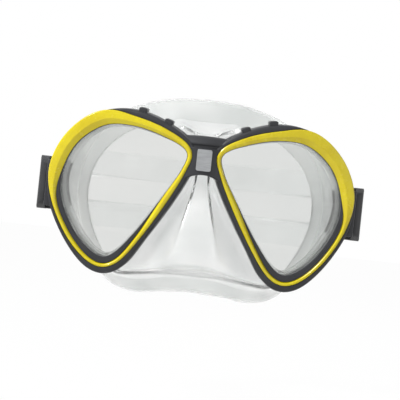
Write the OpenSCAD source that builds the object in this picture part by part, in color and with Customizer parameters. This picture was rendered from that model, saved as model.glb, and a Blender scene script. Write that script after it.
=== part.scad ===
// Twin-lens snorkel mask with a clear silicone skirt and a roller-buckle head strap.
// +Z is up, the lenses face -Y and +X is the wearer's left. The origin is the point
// midway between the two buckle pivots, where the bridge of the wearer's nose sits.

/* [Lenses] */
// Distance from the buckle pivots forward to the point where both lens faces meet
lens_forward = 23; // [20:0.5:28]
// Height of the lens datum above the buckle pivots
lens_rise = 6; // [4:0.5:8]
// Angle by which each lens turns back towards the temple
lens_wrap = 7; // [4:0.5:9]
// Angle by which the lower edge of the lenses leans towards the face
lens_rake = 6; // [3:0.5:8]
// Thickness of the tempered glass
lens_thickness = 4; // [3:0.25:5]
// How far the glass reaches past the visible opening
lens_edge_cover = 2; // [1.5:0.1:2.4]

/* [Frame] */
// Depth of the frame ring behind the lens face
frame_depth = 7.6; // [7.4:0.1:9]
// Thickness of the front lip that retains the lens
lip_thickness = 1.3; // [1:0.1:2]
// Width of the recess for the badge in the nose bridge
badge_w = 7.6; // [6:0.2:8]
// Height of the badge
badge_h = 11; // [8:0.5:12]
// Thickness of the badge
badge_t = 1.2; // [0.8:0.1:1.6]
// Thickness of the coloured trim ring
trim_t = 1.4; // [1:0.1:2]
// Height of the rims of the frame between which the trim ring lies
rim_h = 0.8; // [0.4:0.1:1]

/* [Skirt] */
// Wall of the silicone skirt
skirt_wall = 1.8; // [1.4:0.1:2.2]
// Width of the feathered flange that rests on the face
flange_w = 13; // [9:0.5:15]
// Thickness of the flange where it leaves the wall
flange_t = 1.4; // [1:0.1:1.8]
// Thickness of the flange at its free edge
flange_tip_t = 0.7; // [0.5:0.1:1]
// Forward reach of the nose pocket past the lens face
nose_reach = 9; // [5:0.5:12]

/* [Strap] */
// Thickness of the strap
strap_t = 1.4; // [1.2:0.1:1.6]
// Width of the strap where it runs through the buckle
strap_w = 20; // [16:0.5:22]
// Width over both bands at the back of the head
strap_back_w = 46; // [40:1:56]
// Height of the slot that splits the strap
split_h = 15; // [10:0.5:18]
// Length of the straight run behind the buckle
strap_run = 48; // [44:1:60]
// Height of the adjustment ribs
rib_h = 0.35; // [0.25:0.05:0.5]
// Distance from rib to rib
rib_pitch = 3; // [2.5:0.25:4]
// How far the strap can be drawn in or let out from rest
strap_travel = 8; // [5:0.5:8]
// Length of the free end behind the buckle
tail_l = 46; // [40:1:60]

/* [Buckle] */
// Distance of the pivot lug and the roller from the mid-plane
buckle_x = 78.7; // [78.4:0.1:79.2]
// Distance of the roller axis behind the pivot
roller_y = 13.5; // [13:0.1:15]
// Radius of the roller
roller_r = 1.6; // [1.4:0.1:2]
// Radius of the steel axle in the roller
axle_r = 0.8; // [0.6:0.05:0.9]
// Radius of the pivot pin between frame and buckle
pivot_r = 1.6; // [1.3:0.05:1.8]
// Height of each cheek of the buckle beside the strap
cheek_t = 3.6; // [3:0.1:4]
// Thickness of the plate between strap and head
inner_plate_t = 1.2; // [1:0.1:1.4]
// Thickness of the outer plate, which carries the release lever
outer_plate_t = 2.4; // [2.2:0.1:3]
// Radius of the pin of the release lever
lever_pin_r = 0.7; // [0.5:0.05:0.8]

/* [Hidden] */
$fn = 48;

graphite = [0.27, 0.28, 0.30];
yellow = [0.95, 0.80, 0.10];
silicone = [0.88, 0.90, 0.91, 0.6];
steel = [0.75, 0.76, 0.78];

gap = 0.05;      // play between parts that are assembled without moving
run_gap = 0.3;   // play between parts that move past each other
bore_gap = 0.04; // radial play of a pin in its bore
over = 1;        // how far a cutting solid reaches past what it cuts

// Edge of the visible opening of the wearer's left lens, clockwise from the nose corner:
// [across, up, outer edge of the frame, inner edge of the trim, outer edge of the trim,
// inner edge of the silicone seat]. The last four are distances outwards from the opening.
opening_rows = [
    [ 9.5,  17.0, 4.9, 0.3, 2.9, 0.3],
    [21.5,  23.0, 7.0, 0.3, 4.2, -1.0],
    [37.0,  26.6, 8.3, 0.3, 5.2, -1.2],
    [52.0,  25.4, 7.6, 0.3, 8.0, -1.6],
    [65.0,  15.5, 7.3, 0.3, 7.8, -2.2],
    [71.8,   1.0, 6.7, 0.3, 7.2, -2.8],
    [71.2, -14.0, 6.9, 2.6, 5.3, -3.0],
    [62.5, -30.5, 7.2, 2.8, 5.0, -2.6],
    [51.0, -40.6, 8.8, 3.4, 5.4, -1.8],
    [42.5, -39.8, 8.6, 3.2, 5.2, -1.0],
    [31.5, -27.0, 6.4, 1.8, 4.2, -1.0],
    [19.0,  -7.2, 5.9, 0.3, 3.4, -1.0],
    [10.6,   8.0, 4.9, 0.3, 2.4, -0.4]
];
curve_steps = 5;

// Front of the nose pocket from the bridge down to the upper lip:
// [row of the opening that it meets, half width of the ridge, up, depth behind the lens face].
// A depth below zero is a share of nose_reach, in front of the lens face.
nose_rows = [
    [13.75,  4.0,  25.5,  9.4],
    [13.0,   3.4,  18.0,  9.4],
    [12.1,   3.2,   8.0,  9.2],
    [11.5,   3.2,   0.0,  6.4],
    [11.0,   5.0,  -9.0,  1.6],
    [10.5,   7.0, -18.0, -0.36],
    [10.0,   9.0, -27.0, -0.78],
    [9.5,   10.4, -35.5, -1.0],
    [9.1,   11.0, -41.5, -0.67],
    [8.8,   11.6, -45.5,  2.0],
    [8.6,   12.2, -47.5, 11.0]
];
nose_steps = 2;

// Where the skirt meets the face, seen from the front, from the forehead round to the lip
seal_rows = [
    [ 0.0,  52.5], [14.0,  51.8], [27.0,  49.6], [40.0,  45.0], [53.0,  35.5],
    [62.5,  23.0], [67.5,   8.0], [67.5,  -9.0], [62.0, -27.0], [52.0, -44.0],
    [42.0, -52.5], [32.0, -54.6], [20.0, -52.4], [ 0.0, -50.5]
];
seal_steps = 4;
// Ellipsoid that stands for the wearer's face: centre, and half of each axis
face_centre = [0, 73, 16];
face_axes = [78, 70, 106];

// ---- curves -------------------------------------------------------------------------

function wrapped(i, n) = (i % n + n) % n;
function spline(a, b, c, d, t) =
    0.5 * (2 * b + (c - a) * t + (2 * a - 5 * b + 4 * c - d) * t * t
    + (3 * b - a - 3 * c + d) * t * t * t);
// Point at place s, counted in rows, of the closed curve through rows
function on_loop(rows, s) =
    let (n = len(rows), i = floor(s))
    spline(rows[wrapped(i - 1, n)], rows[wrapped(i, n)], rows[wrapped(i + 1, n)],
        rows[wrapped(i + 2, n)], s - i);
// Point at place s of the open curve through rows
function on_curve(rows, s) =
    let (m = len(rows) - 1, i = min(floor(s), m - 1))
    spline(rows[max(i - 1, 0)], rows[i], rows[i + 1], rows[min(i + 2, m)], s - i);
function unit(v) = v / norm(v);

// Outline of a polygon with rounded corners, from [x, y, radius] for each corner
function rounded(corners) = [
    for (i = [0 : len(corners) - 1])
        let (n = len(corners), c = corners[i], p = [c[0], c[1]],
            a = corners[wrapped(i - 1, n)], b = corners[wrapped(i + 1, n)],
            u = unit([a[0], a[1]] - p), v = unit([b[0], b[1]] - p),
            half = acos(u * v) / 2, turn = sign(u[1] * v[0] - u[0] * v[1]))
        if (c[2] == 0) p
        else
            let (m = p + unit(u + v) * c[2] / sin(half), start = p + u * c[2] / tan(half) - m,
                steps = ceil((180 - 2 * half) / 15))
            for (k = [0 : steps])
                let (t = turn * k * (180 - 2 * half) / steps)
                m + [start[0] * cos(t) - start[1] * sin(t), start[0] * sin(t) + start[1] * cos(t)]
];

// ---- the plane of the lens ----------------------------------------------------------

opening_size = len(opening_rows);
n_open = opening_size * curve_steps;
function opening_at(s) = on_loop(opening_rows, s);
function ring_places() = [for (i = [0 : n_open - 1]) i / curve_steps];
// Distance out of the opening in column k of opening_rows, for each place of the ring
function edge_list(k) = [for (s = ring_places()) opening_at(s)[k]];
// Point u outside the opening at row s and w in front of the lens face
function at_edge(s, u, w) =
    let (p = opening_at(s), a = opening_at(s - 0.1), b = opening_at(s + 0.1),
        t = unit([b[0] - a[0], b[1] - a[1]]))
    [p[0] - u * t[1], -w, p[1] + u * t[0]];
function rake_point(p) =
    [p[0], p[1] * cos(lens_rake) - p[2] * sin(lens_rake) - lens_forward,
        p[1] * sin(lens_rake) + p[2] * cos(lens_rake) + lens_rise];
function place_point(p) = rake_point([
    p[0] * cos(lens_wrap) - p[1] * sin(lens_wrap),
    p[0] * sin(lens_wrap) + p[1] * cos(lens_wrap), p[2]]);
module in_mask_plane() {
    translate([0, -lens_forward, lens_rise]) rotate([lens_rake, 0, 0]) children();
}
module in_lens_plane() {
    in_mask_plane() rotate([0, 0, lens_wrap]) children();
}
// Prism from w_front back to w_back. Its outline lies u outside the opening, where u is one
// number, or a list with a number for each place of the ring.
module edge_prism(u, w_front, w_back) {
    places = ring_places();
    outline = [
        for (i = [0 : n_open - 1])
            let (p = at_edge(places[i], is_list(u) ? u[i] : u, 0)) [p[0], p[2]]
    ];
    translate([0, -w_front, 0]) rotate([90, 0, 0]) mirror([0, 0, 1])
        linear_extrude(w_front - w_back) polygon(outline);
}
module both_sides() {
    children();
    mirror([1, 0, 0]) children();
}

// ---- solids from rings of points ----------------------------------------------------

// Two triangles between four points, named in turn round their edge, along the shorter diagonal
function quad(points, a, b, c, d) =
    norm(points[a] - points[c]) <= norm(points[b] - points[d])
        ? [[a, b, c], [a, c, d]] : [[a, b, d], [b, c, d]];
// Tube that closes on itself: each entry of rings is one section
module closed_sweep(rings) {
    n = len(rings);
    m = len(rings[0]);
    points = [for (r = rings) each r];
    polyhedron(points, [
        for (i = [0 : n - 1]) for (k = [0 : m - 1])
            let (j = (i + 1) % n, l = (k + 1) % m)
            each quad(points, i * m + k, i * m + l, j * m + l, j * m + k)
    ], convexity = 8);
}
// Direction square to the grid of points at row i and column k
function grid_normal(grid, i, k, loop) =
    let (n = len(grid), m = len(grid[0]),
        before = loop ? grid[wrapped(i - 1, n)] : grid[max(i - 1, 0)],
        after = loop ? grid[wrapped(i + 1, n)] : grid[min(i + 1, n - 1)],
        row = grid[i])
    unit(cross(after[k] - before[k], row[min(k + 1, m - 1)] - row[max(k - 1, 0)]));
// Wall half to each side of a grid of points, from its thickness in the first column of the
// grid to tip_t in the last
module wall(grid, thickness, tip_t, loop) {
    n = len(grid);
    m = len(grid[0]);
    rows = [
        for (i = [0 : n - 1])
            let (offsets = [
                for (k = [0 : m - 1])
                    let (t = thickness + (tip_t - thickness) * k / (m - 1))
                    grid_normal(grid, i, k, loop) * t / 2
            ])
            concat([for (k = [0 : m - 1]) grid[i][k] + offsets[k]],
                [for (k = [m - 1 : -1 : 0]) grid[i][k] - offsets[k]])
    ];
    points = [for (r = rows) each r];
    c = 2 * m;
    end = (n - 1) * c;
    sides = [
        for (i = [0 : loop ? n - 1 : n - 2]) for (k = [0 : c - 1])
            let (j = (i + 1) % n, l = (k + 1) % c)
            each quad(points, i * c + k, i * c + l, j * c + l, j * c + k)
    ];
    ends = [
        for (k = [0 : m - 2])
            let (l = c - 1 - k)
            each concat(quad(points, k, l, l - 1, k + 1),
                quad(points, end + l, end + k, end + k + 1, end + l - 1))
    ];
    polyhedron(points, loop ? sides : concat(sides, ends), convexity = 10);
}

// ---- lenses and their trim ----------------------------------------------------------

module lens() {
    color([0.85, 0.93, 0.95, 0.35]) in_lens_plane()
        edge_prism(lens_edge_cover, 0, -lens_thickness);
}

seat_front = 0.8;                          // silicone in front of the glass
seat_back = -lens_thickness - 2.4;         // back of the silicone seat
seat_out = lens_edge_cover + 1.5;          // outside of the silicone seat
lip_back = seat_front + gap;
lip_front = lip_back + lip_thickness;
seat_grip = 0.4;                           // where the seat starts, outside the opening
seat_lip = 1;                              // thickness of its lip behind the glass
hook_in = seat_out - 0.6;                  // the frame's rear edge hooks behind the seat
trim_base = lip_front + gap;
trim_ridge = 0.4;      // where the ridge of the trim runs, as a share of its width
trim_edges = 0.4;      // height of its inner edge as a share of its thickness
trim_round = 0.5;

module bezel() {
    top = trim_base + trim_t;
    color(yellow) in_lens_plane() closed_sweep([
        for (s = ring_places())
            let (row = opening_at(s), a = row[3], b = row[4], ridge = a + (b - a) * trim_ridge)
            [for (q = [
                [a, trim_base], [a, trim_base + trim_edges * trim_t], [ridge, top],
                [b - trim_round, top - trim_round / 2], [b, top - 3 * trim_round / 2], [b, trim_base]
            ]) at_edge(s, q[0], q[1])]
    ]);
}

// ---- frame --------------------------------------------------------------------------

frame_edge = edge_list(2);
rim_least = 1;          // narrowest inner rim that the frame has
bridge_foot = opening_size - 1.4;   // rows of the opening between which the bridge joins
bridge_top = opening_size + 0.6;    // the two rings
bridge_root = 2;        // how far the bridge reaches into each ring
bridge_back = 5.6;
bridge_front = 3.4;
bridge_arch = 4.6;      // how far the lower edge of the bridge rises in the middle
bridge_crown = 1;       // how far its upper edge rises
arch_steps = 4;         // points along half of either edge
brow_slope = 40;
brow_start = 4;         // height of the sloping face at the top of the bridge
brow_groove = 1.2;      // height and depth of the groove under the brow

// Window of the lens, channel for its silicone seat, and the opening behind the hook
module lens_cut() {
    in_lens_plane() {
        edge_prism(0, lip_front + 4 * over, lip_back - over);
        edge_prism(seat_out + gap, lip_back, seat_back - gap);
        edge_prism(hook_in, seat_back + over, -frame_depth - over);
    }
}

// Front of the ring round one lens, with a rim to each side of the trim ring
module ring_front() {
    top = lip_front + rim_h;
    difference() {
        edge_prism(frame_edge, top, lip_back);
        edge_prism([for (b = edge_list(4)) b + gap], top + over, lip_front);
    }
    edge_prism([for (a = edge_list(3)) a > rim_least ? a - gap : -over], top, lip_back);
}

module bridge() {
    edge = [
        for (s = [bridge_foot : 0.2 : bridge_top])
            let (p = at_edge(s, opening_at(s)[2] - bridge_root, 0)) [p[0], p[2]]
    ];
    foot = edge[0];
    top = edge[len(edge) - 1];
    half = concat(
        [for (k = [0 : arch_steps - 1])
            let (turn = 90 * k / arch_steps) [foot[0] * sin(turn), foot[1] + bridge_arch * cos(turn)]],
        edge,
        [for (k = [1 : arch_steps])
            let (t = k / arch_steps) [top[0] * (1 - t), top[1] + bridge_crown * sin(90 * t)]]);
    outline = concat(half, [for (k = [len(half) - 2 : -1 : 1]) [-half[k][0], half[k][1]]]);
    in_mask_plane() difference() {
        translate([0, -bridge_front, 0]) rotate([90, 0, 0]) mirror([0, 0, 1])
            linear_extrude(bridge_front + bridge_back) polygon(outline);
        translate([-top[0] - over, -bridge_front, top[1] - brow_start]) rotate([-brow_slope, 0, 0])
            translate([0, -bridge_front - bridge_back, 0])
                cube([2 * (top[0] + over), bridge_front + bridge_back, 4 * brow_start]);
        translate([-top[0], -bridge_front - over, badge_z + badge_h + brow_groove / 2])
            cube([2 * top[0], over + brow_groove, brow_groove]);
        badge_recess();
    }
}

badge_z = 8;
module badge_recess() {
    translate([-badge_w / 2 - gap, -bridge_front - over, badge_z - gap])
        cube([badge_w + 2 * gap, over + badge_t / 2, badge_h + 2 * gap]);
}
module bridge_badge() {
    color([0.72, 0.73, 0.75]) in_mask_plane()
        translate([0, -bridge_front + badge_t / 2 - gap, badge_z])
            rotate([90, 0, 0]) linear_extrude(badge_t) polygon(rounded([
                [-badge_w / 2, 0, 1], [badge_w / 2, 0, 1],
                [badge_w / 2, badge_h, 1], [-badge_w / 2, badge_h, 1]]));
}

// Lugs on the upper edge that the trim rings clip under
clip_rows = [1.05, 1.85];
clip_w = 4.4;
clip_h = 2;
clip_l = 6;
clip_round = 1;
clip_root = 1;          // how far they reach into the ring
module trim_clips() {
    for (s = clip_rows)
        let (u = opening_at(s)[2] - clip_root, p = at_edge(s, u, 0), q = at_edge(s + 0.1, u, 0))
        in_lens_plane() translate([p[0], -lip_front, p[2]])
            rotate([0, atan2(p[2] - q[2], q[0] - p[0]), 0])
            rotate([90, 0, 0]) mirror([0, 0, 1]) linear_extrude(clip_l) polygon(rounded([
                [-clip_w / 2, 0, 0], [clip_w / 2, 0, 0],
                [clip_w / 2, clip_root + clip_h, clip_round],
                [-clip_w / 2, clip_root + clip_h, clip_round]]));
}

lug_t = 3;
lug_r = 4.6;
lug_back = 10.5;        // front of its root behind the lens datum
lug_root = lug_back - lens_forward;
lug_depth = 4;          // reach of its root along the side of the frame
lug_half = 12;
lug_grip = 2.5;         // how far its root reaches into the side of the frame
side_row = 5.5;         // row of the opening beside the buckle
frame_side = place_point(at_edge(side_row, opening_at(side_row)[2], -frame_depth))[0];
module temple_lug() {
    translate([frame_side - lug_grip, lug_root, -lug_half])
        cube([buckle_x - frame_side + lug_grip, lug_depth, 2 * lug_half]);
    difference() {
        translate([buckle_x - lug_t / 2, 0, 0]) rotate([90, 0, 90]) linear_extrude(lug_t)
            polygon(concat(
                [[lug_root, -lug_half], [lug_root + lug_depth, -lug_half]],
                [for (a = [-60 : 15 : 60]) lug_r * [cos(a), sin(a)]],
                [[lug_root + lug_depth, lug_half], [lug_root, lug_half]]));
        translate([buckle_x, 0, 0]) rotate([0, 90, 0])
            cylinder(r = pivot_r + bore_gap / 2, h = lug_t + over, center = true);
    }
}

module frame() {
    color(graphite) difference() {
        union() {
            both_sides() {
                in_lens_plane() {
                    edge_prism(frame_edge, lip_front, -frame_depth);
                    ring_front();
                }
                temple_lug();
                trim_clips();
            }
            bridge();
        }
        both_sides() lens_cut();
    }
}

// ---- skirt --------------------------------------------------------------------------

root_u = hook_in - 2 * gap - skirt_wall / 2;       // where the walls leave the seat
root_w = -frame_depth - skirt_wall / 2 - run_gap;  // depth at which they are clear of the frame
root_tip = seat_back + 0.7;                        // their start, inside the seat
pocket_out = 1.4;                                  // how far the nose pocket clears the frame

module lens_seat() {
    in_lens_plane() closed_sweep([
        for (s = ring_places())
            let (rim = opening_at(s)[5])
            [for (q = [
                [seat_grip, gap], [seat_grip, seat_front], [seat_out, seat_front],
                [seat_out, seat_back], [rim, seat_back], [rim, seat_back + seat_lip],
                [rim + seat_lip, -lens_thickness - gap],
                [lens_edge_cover + gap, -lens_thickness - gap], [lens_edge_cover + gap, gap]
            ]) at_edge(s, q[0], q[1])]
    ]);
}

// Depth of the wearer's face under a point seen from the front
function face_depth(x, z) =
    face_centre[1] - face_axes[1] * sqrt(1 - pow(x / face_axes[0], 2)
        - pow((z - face_centre[2]) / face_axes[2], 2));
seal_middle = -1;
seal_polar = [
    for (k = [0 : (len(seal_rows) - 1) * seal_steps])
        let (p = on_curve(seal_rows, k / seal_steps), q = [p[0], p[1] - seal_middle])
        [atan2(q[0], q[1]), norm(q)]
];
// Point of the face, inset from the seal line, in the direction turn from straight up
function on_face(turn, inset) =
    let (r = lookup(abs(turn), seal_polar) - inset,
        x = r * sin(turn), z = seal_middle + r * cos(turn))
    [x, face_depth(x, z), z];
function direction_of(p) = atan2(p[0], p[2] - seal_middle);
function mirrored(p) = [-p[0], p[1], p[2]];

ridge_dip = 0.5;    // how far the middle of the nose pocket stands in front of its ridges
// Line across the nose pocket: from its root on the wearer's left lens seat to the middle
function nose_line(s) =
    let (row = on_curve([for (r = nose_rows) r[3] < 0 ? [r[0], r[1], r[2], r[3] * nose_reach] : r], s),
        at = row[0], out = opening_at(at)[2],
        ridge = rake_point([row[1], row[3], row[2]]),
        middle = rake_point([0, row[3] - ridge_dip, row[2]]),
        foot = place_point(at_edge(at, out + pocket_out, root_w - 2 * run_gap)))
    [place_point(at_edge(at, root_u, root_tip)), place_point(at_edge(at, root_u, root_w)),
        foot, (2 * foot + ridge) / 3, (foot + 2 * ridge) / 3, ridge, middle];
function whole_nose_line(s) =
    let (half = nose_line(s)) concat(half, [for (k = [len(half) - 2 : -1 : 0]) mirrored(half[k])]);
nose_count = (len(nose_rows) - 1) * nose_steps;

wall_lead = 9;      // how far the wall runs straight back before it turns to the seal
seal_lead = 11;     // and how far it runs straight before it meets the seal
seal_flare = 3;     // how far it swells outwards there
// Line down the skirt from the seat to the seal, leaving the seat at point p
function side_line(tip, p) =
    let (turn = direction_of(p), seal = on_face(turn, 0),
        out = [sin(turn), 0, cos(turn)],
        b = p + [0, wall_lead, 0] - out, c = seal - [0, seal_lead, 0] + seal_flare * out)
    concat([tip], [for (t = [0 : 0.2 : 1])
        pow(1 - t, 3) * p + 3 * pow(1 - t, 2) * t * b + 3 * (1 - t) * t * t * c + pow(t, 3) * seal]);

seam = 0.03;    // rows between the side wall and the nose pocket where both leave the seat
lap = 0.3;      // how far the side wall reaches into the nose pocket and into the flange
wall_first = nose_rows[0][0] - opening_size + seam;    // rows of the opening that the side
wall_last = nose_rows[len(nose_rows) - 1][0] - seam;  // wall follows on the wearer's left
wall_count = 30;
side_half =
    let (top = nose_line(0), low = nose_line(len(nose_rows) - 1))
    concat(
        [for (k = [6, 5, 3, 2, 1]) side_line(top[k] - [0, lap, 0], top[k] + [0, over, 0])],
        [for (i = [0 : wall_count])
            let (s = wall_first + (wall_last - wall_first) * i / wall_count)
            side_line(place_point(at_edge(s, root_u, root_tip)),
                place_point(at_edge(s, root_u, root_w)))],
        [for (k = [1 : 6]) side_line(low[k] - [0, lap, 0], low[k] + [0, over, 0])]);
side_grid = concat(side_half,
    [for (i = [len(side_half) - 2 : -1 : 1]) [for (p = side_half[i]) mirrored(p)]]);

flange_lines = 44;
module face_flange() {
    wall([
        for (i = [0 : flange_lines - 1])
            let (turn = (i + 0.5) * 360 / flange_lines - 180,
                slope = (on_face(turn, 1)[1] - on_face(turn, 0)[1]),
                reach = flange_w / sqrt(1 + slope * slope))
            [for (k = [0 : 3]) on_face(turn, reach * k / 3 - lap) - [0, flange_t / 2, 0]]
    ], flange_t, flange_tip_t, true);
}

module skirt() {
    color(silicone) union() {
        both_sides() lens_seat();
        wall(side_grid, skirt_wall, skirt_wall, true);
        wall([for (i = [0 : nose_count]) whole_nose_line(i / nose_steps)], skirt_wall, skirt_wall, false);
        face_flange();
    }
}

// ---- buckles ------------------------------------------------------------------------

// Everything on a buckle is drawn for the wearer's left, with x measured outwards from
// the pivot lug and y measured back from the pivot.
strand_x = roller_r + bore_gap * 2 + strap_t / 2;      // middle of each run of the strap
channel = strand_x + strap_t / 2 + rib_h + run_gap;    // half width inside the buckle
strand_h = strap_w / 2 + run_gap;                      // half height inside the buckle
body_h = strand_h + cheek_t;
plate_in = channel + inner_plate_t;
plate_out = channel + outer_plate_t;
bend_end = roller_y + 1;                               // where the bend turns into the runs
run_start = bend_end + strap_travel + run_gap;         // where the runs start at rest
body_end = run_start + strap_travel + 0.5;
channel_start = roller_y - strand_x - strap_t / 2 - run_gap;
web_start = lug_r + 0.7;
ear_x = lug_t / 2 + run_gap;
ear_r = 4.4;
ear_front = -6;
ear_cut = [5, 3];      // how much its front corners are cut off, along y and z
sleeve_cut = [4, 2];   // and the rear corners of the sleeve
corner_r = 3;          // rounding of the corners seen from the side
plate_edge_r = 0.8;    // rounding of the thin edges seen from above
front_edge_r = 3;      // rounding of the front edge of the ear
rear_edge_r = 1.4;     // rounding of the rear edge of the sleeve
lever_pin_x = channel + outer_plate_t / 2 + 0.1;
lever_pin_y = channel_start + 1.6;
lever_end = body_end - 2.6;
lever_h = strand_h - 2;

module on_left_buckle() {
    translate([buckle_x, 0, 0]) children();
}
module along_x(from, to) {
    translate([from, 0, 0]) rotate([90, 0, 90]) linear_extrude(to - from) children();
}
module along_z(half) {
    translate([0, 0, -half]) linear_extrude(2 * half) children();
}

module buckle_body() {
    color(graphite) on_left_buckle() difference() {
        union() {
            // sleeve behind the web
            intersection() {
                along_x(-plate_in, plate_out) polygon(rounded([
                    [web_start, -body_h, plate_edge_r], [body_end - sleeve_cut[0], -body_h, corner_r],
                    [body_end, sleeve_cut[1] - body_h, rear_edge_r],
                    [body_end, body_h - sleeve_cut[1], rear_edge_r],
                    [body_end - sleeve_cut[0], body_h, corner_r], [web_start, body_h, plate_edge_r]]));
                along_z(body_h + over) polygon(rounded([
                    [-plate_in, web_start - over, 0], [plate_out, web_start - over, 0],
                    [plate_out, body_end, rear_edge_r], [-plate_in, body_end, plate_edge_r]]));
            }
            // outer ear, the bar that shows beside the frame
            intersection() {
                along_x(ear_x, plate_out) polygon(rounded([
                    [ear_front, ear_cut[1] - body_h, corner_r],
                    [ear_front + ear_cut[0], -body_h, corner_r], [web_start + over, -body_h, 0],
                    [web_start + over, body_h, 0], [ear_front + ear_cut[0], body_h, corner_r],
                    [ear_front, body_h - ear_cut[1], corner_r]]));
                along_z(body_h + over) polygon(rounded([
                    [ear_x, ear_front, plate_edge_r], [plate_out, ear_front, front_edge_r],
                    [plate_out, web_start + 2 * over, 0], [ear_x, web_start + 2 * over, 0]]));
            }
            // inner ear
            translate([-plate_in, 0, 0]) rotate([0, 90, 0]) cylinder(r = ear_r, h = plate_in - ear_x);
            translate([-plate_in, 0, -ear_r]) cube([plate_in - ear_x, web_start + over, 2 * ear_r]);
        }
        // channel for the strap and its roller
        translate([-channel, channel_start, -strand_h])
            cube([2 * channel, body_end - channel_start + over, 2 * strand_h]);
        // pivot and axle bores
        rotate([0, 90, 0]) cylinder(r = pivot_r + bore_gap, h = 4 * plate_out, center = true);
        translate([0, roller_y, 0]) cylinder(r = axle_r + bore_gap / 2, h = 4 * body_h, center = true);
        // window of the release lever and the bores of its pin
        translate([channel - over, channel_start - 0.6, -lever_h - run_gap])
            cube([outer_plate_t + 2 * over, lever_end - channel_start + 1.2, 2 * (lever_h + run_gap)]);
        translate([lever_pin_x, lever_pin_y, 0])
            cylinder(r = lever_pin_r + bore_gap / 2, h = 2 * body_h - 3, center = true);
    }
}

module strap_roller() {
    color([0.16, 0.17, 0.18]) on_left_buckle() translate([0, roller_y, 0]) difference() {
        cylinder(r = roller_r, h = 2 * strand_h - run_gap, center = true);
        cylinder(r = axle_r + bore_gap, h = 2 * strand_h, center = true);
    }
}
module roller_axle() {
    color(steel) on_left_buckle() translate([0, roller_y, 0])
        cylinder(r = axle_r, h = 2 * body_h - 1, center = true);
}
module pivot_pin() {
    color(steel) on_left_buckle() translate([-plate_in + 0.2, 0, 0]) rotate([0, 90, 0])
        cylinder(r = pivot_r, h = plate_in + plate_out - 0.4);
}
module lever_pin() {
    color(steel) on_left_buckle() translate([lever_pin_x, lever_pin_y, 0])
        cylinder(r = lever_pin_r, h = 2 * body_h - 3.4, center = true);
}

// Flap whose teeth lock the ribs of the strap; it lifts outwards at its rear end
lever_teeth = 3;
lever_tooth = 0.9;
lever_lip = 1.2;        // how far its rear end stands out for a fingertip
lever_lip_l = 5.2;
lever_grips = 3;        // grip ridges along the lip
lever_grip_h = 0.3;
module release_lever() {
    inside = channel + run_gap / 2;
    outside = plate_out - run_gap / 2;
    teeth_y = lever_end - 3 - lever_teeth * lever_tooth;
    lip_y = lever_end - 0.8 - lever_lip_l;
    grip = lever_lip_l / lever_grips;
    color([0.36, 0.37, 0.39]) on_left_buckle() difference() {
        along_z(lever_h) polygon(concat(
            [[lever_pin_x, lever_pin_y - 1.1], [outside - 0.2, lever_pin_y - 0.6],
                [outside, lever_pin_y + 0.6], [outside, lip_y]],
            [for (k = [1 : lever_grips])
                let (y = lip_y + k * grip, x = outside + lever_lip * k / lever_grips) each
                [[x, y - grip / 2], [x, y - 0.1], [x - lever_grip_h, y]]],
            [[outside + lever_lip / 2, lever_end],
                [inside + 0.6, lever_end - 1.4], [inside + 0.6, teeth_y + lever_teeth * lever_tooth]],
            [for (k = [lever_teeth - 1 : -1 : 0]) let (y = teeth_y + k * lever_tooth) each
                [[inside - rib_h / 2, y + 0.8 * lever_tooth], [inside + 0.4, y]]],
            [[inside + 0.4, lever_pin_y + 1], [lever_pin_x - 0.9, lever_pin_y]]));
        translate([lever_pin_x, lever_pin_y, 0])
            cylinder(r = lever_pin_r + bore_gap, h = 2 * lever_h + over, center = true);
    }
}

// ---- strap --------------------------------------------------------------------------

back_r = 58;                     // bend of the strap at each side of the head
strap_end = body_end + strap_run;
strap_rear = strap_end + back_r;
half_loop = buckle_x - strand_x; // middle of the strap at each side
widen_start = 18;                // the strap widens from here, behind the buckle,
widen_end = 14;                  // to here, behind the start of its bend
split_start = -2;                // and splits from here, behind the start of the bend,
split_end = 12;                  // to its full height here
ease_r = 30;                     // rounding of its edges on the way
tail_round = 7;                  // rounding of the free end of its tail

// Outline of the loop seen from above, at distance t outside its middle line
module loop_shape(t) {
    r = back_r + t;
    side = half_loop + t;
    translate([-side, run_start]) square([2 * side, strap_end - run_start]);
    for (x = [back_r - half_loop, half_loop - back_r])
        translate([x, strap_end]) circle(r, $fn = 96);
    translate([back_r - half_loop, strap_end]) square([2 * (half_loop - back_r), r]);
}
// The strap seen from the side, and the slot that splits it
module band_side() {
    wide = strap_back_w / 2;
    end = strap_w / 2;
    polygon(rounded([
        [run_start, -end, 0], [body_end + widen_start, -end, ease_r],
        [strap_end + widen_end, -wide, ease_r], [strap_rear + strap_t, -wide, 0],
        [strap_rear + strap_t, wide, 0], [strap_end + widen_end, wide, ease_r],
        [body_end + widen_start, end, ease_r], [run_start, end, 0]]));
}
module split_side() {
    slot = split_h / 2;
    polygon(rounded([
        [strap_end + split_start, 0, strap_t], [strap_end + split_end, -slot, split_end],
        [strap_rear + 2 * strap_t, -slot, 0], [strap_rear + 2 * strap_t, slot, 0],
        [strap_end + split_end, slot, split_end]]));
}
rib_root = 0.2;                  // how far the ribs reach into the strap
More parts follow.
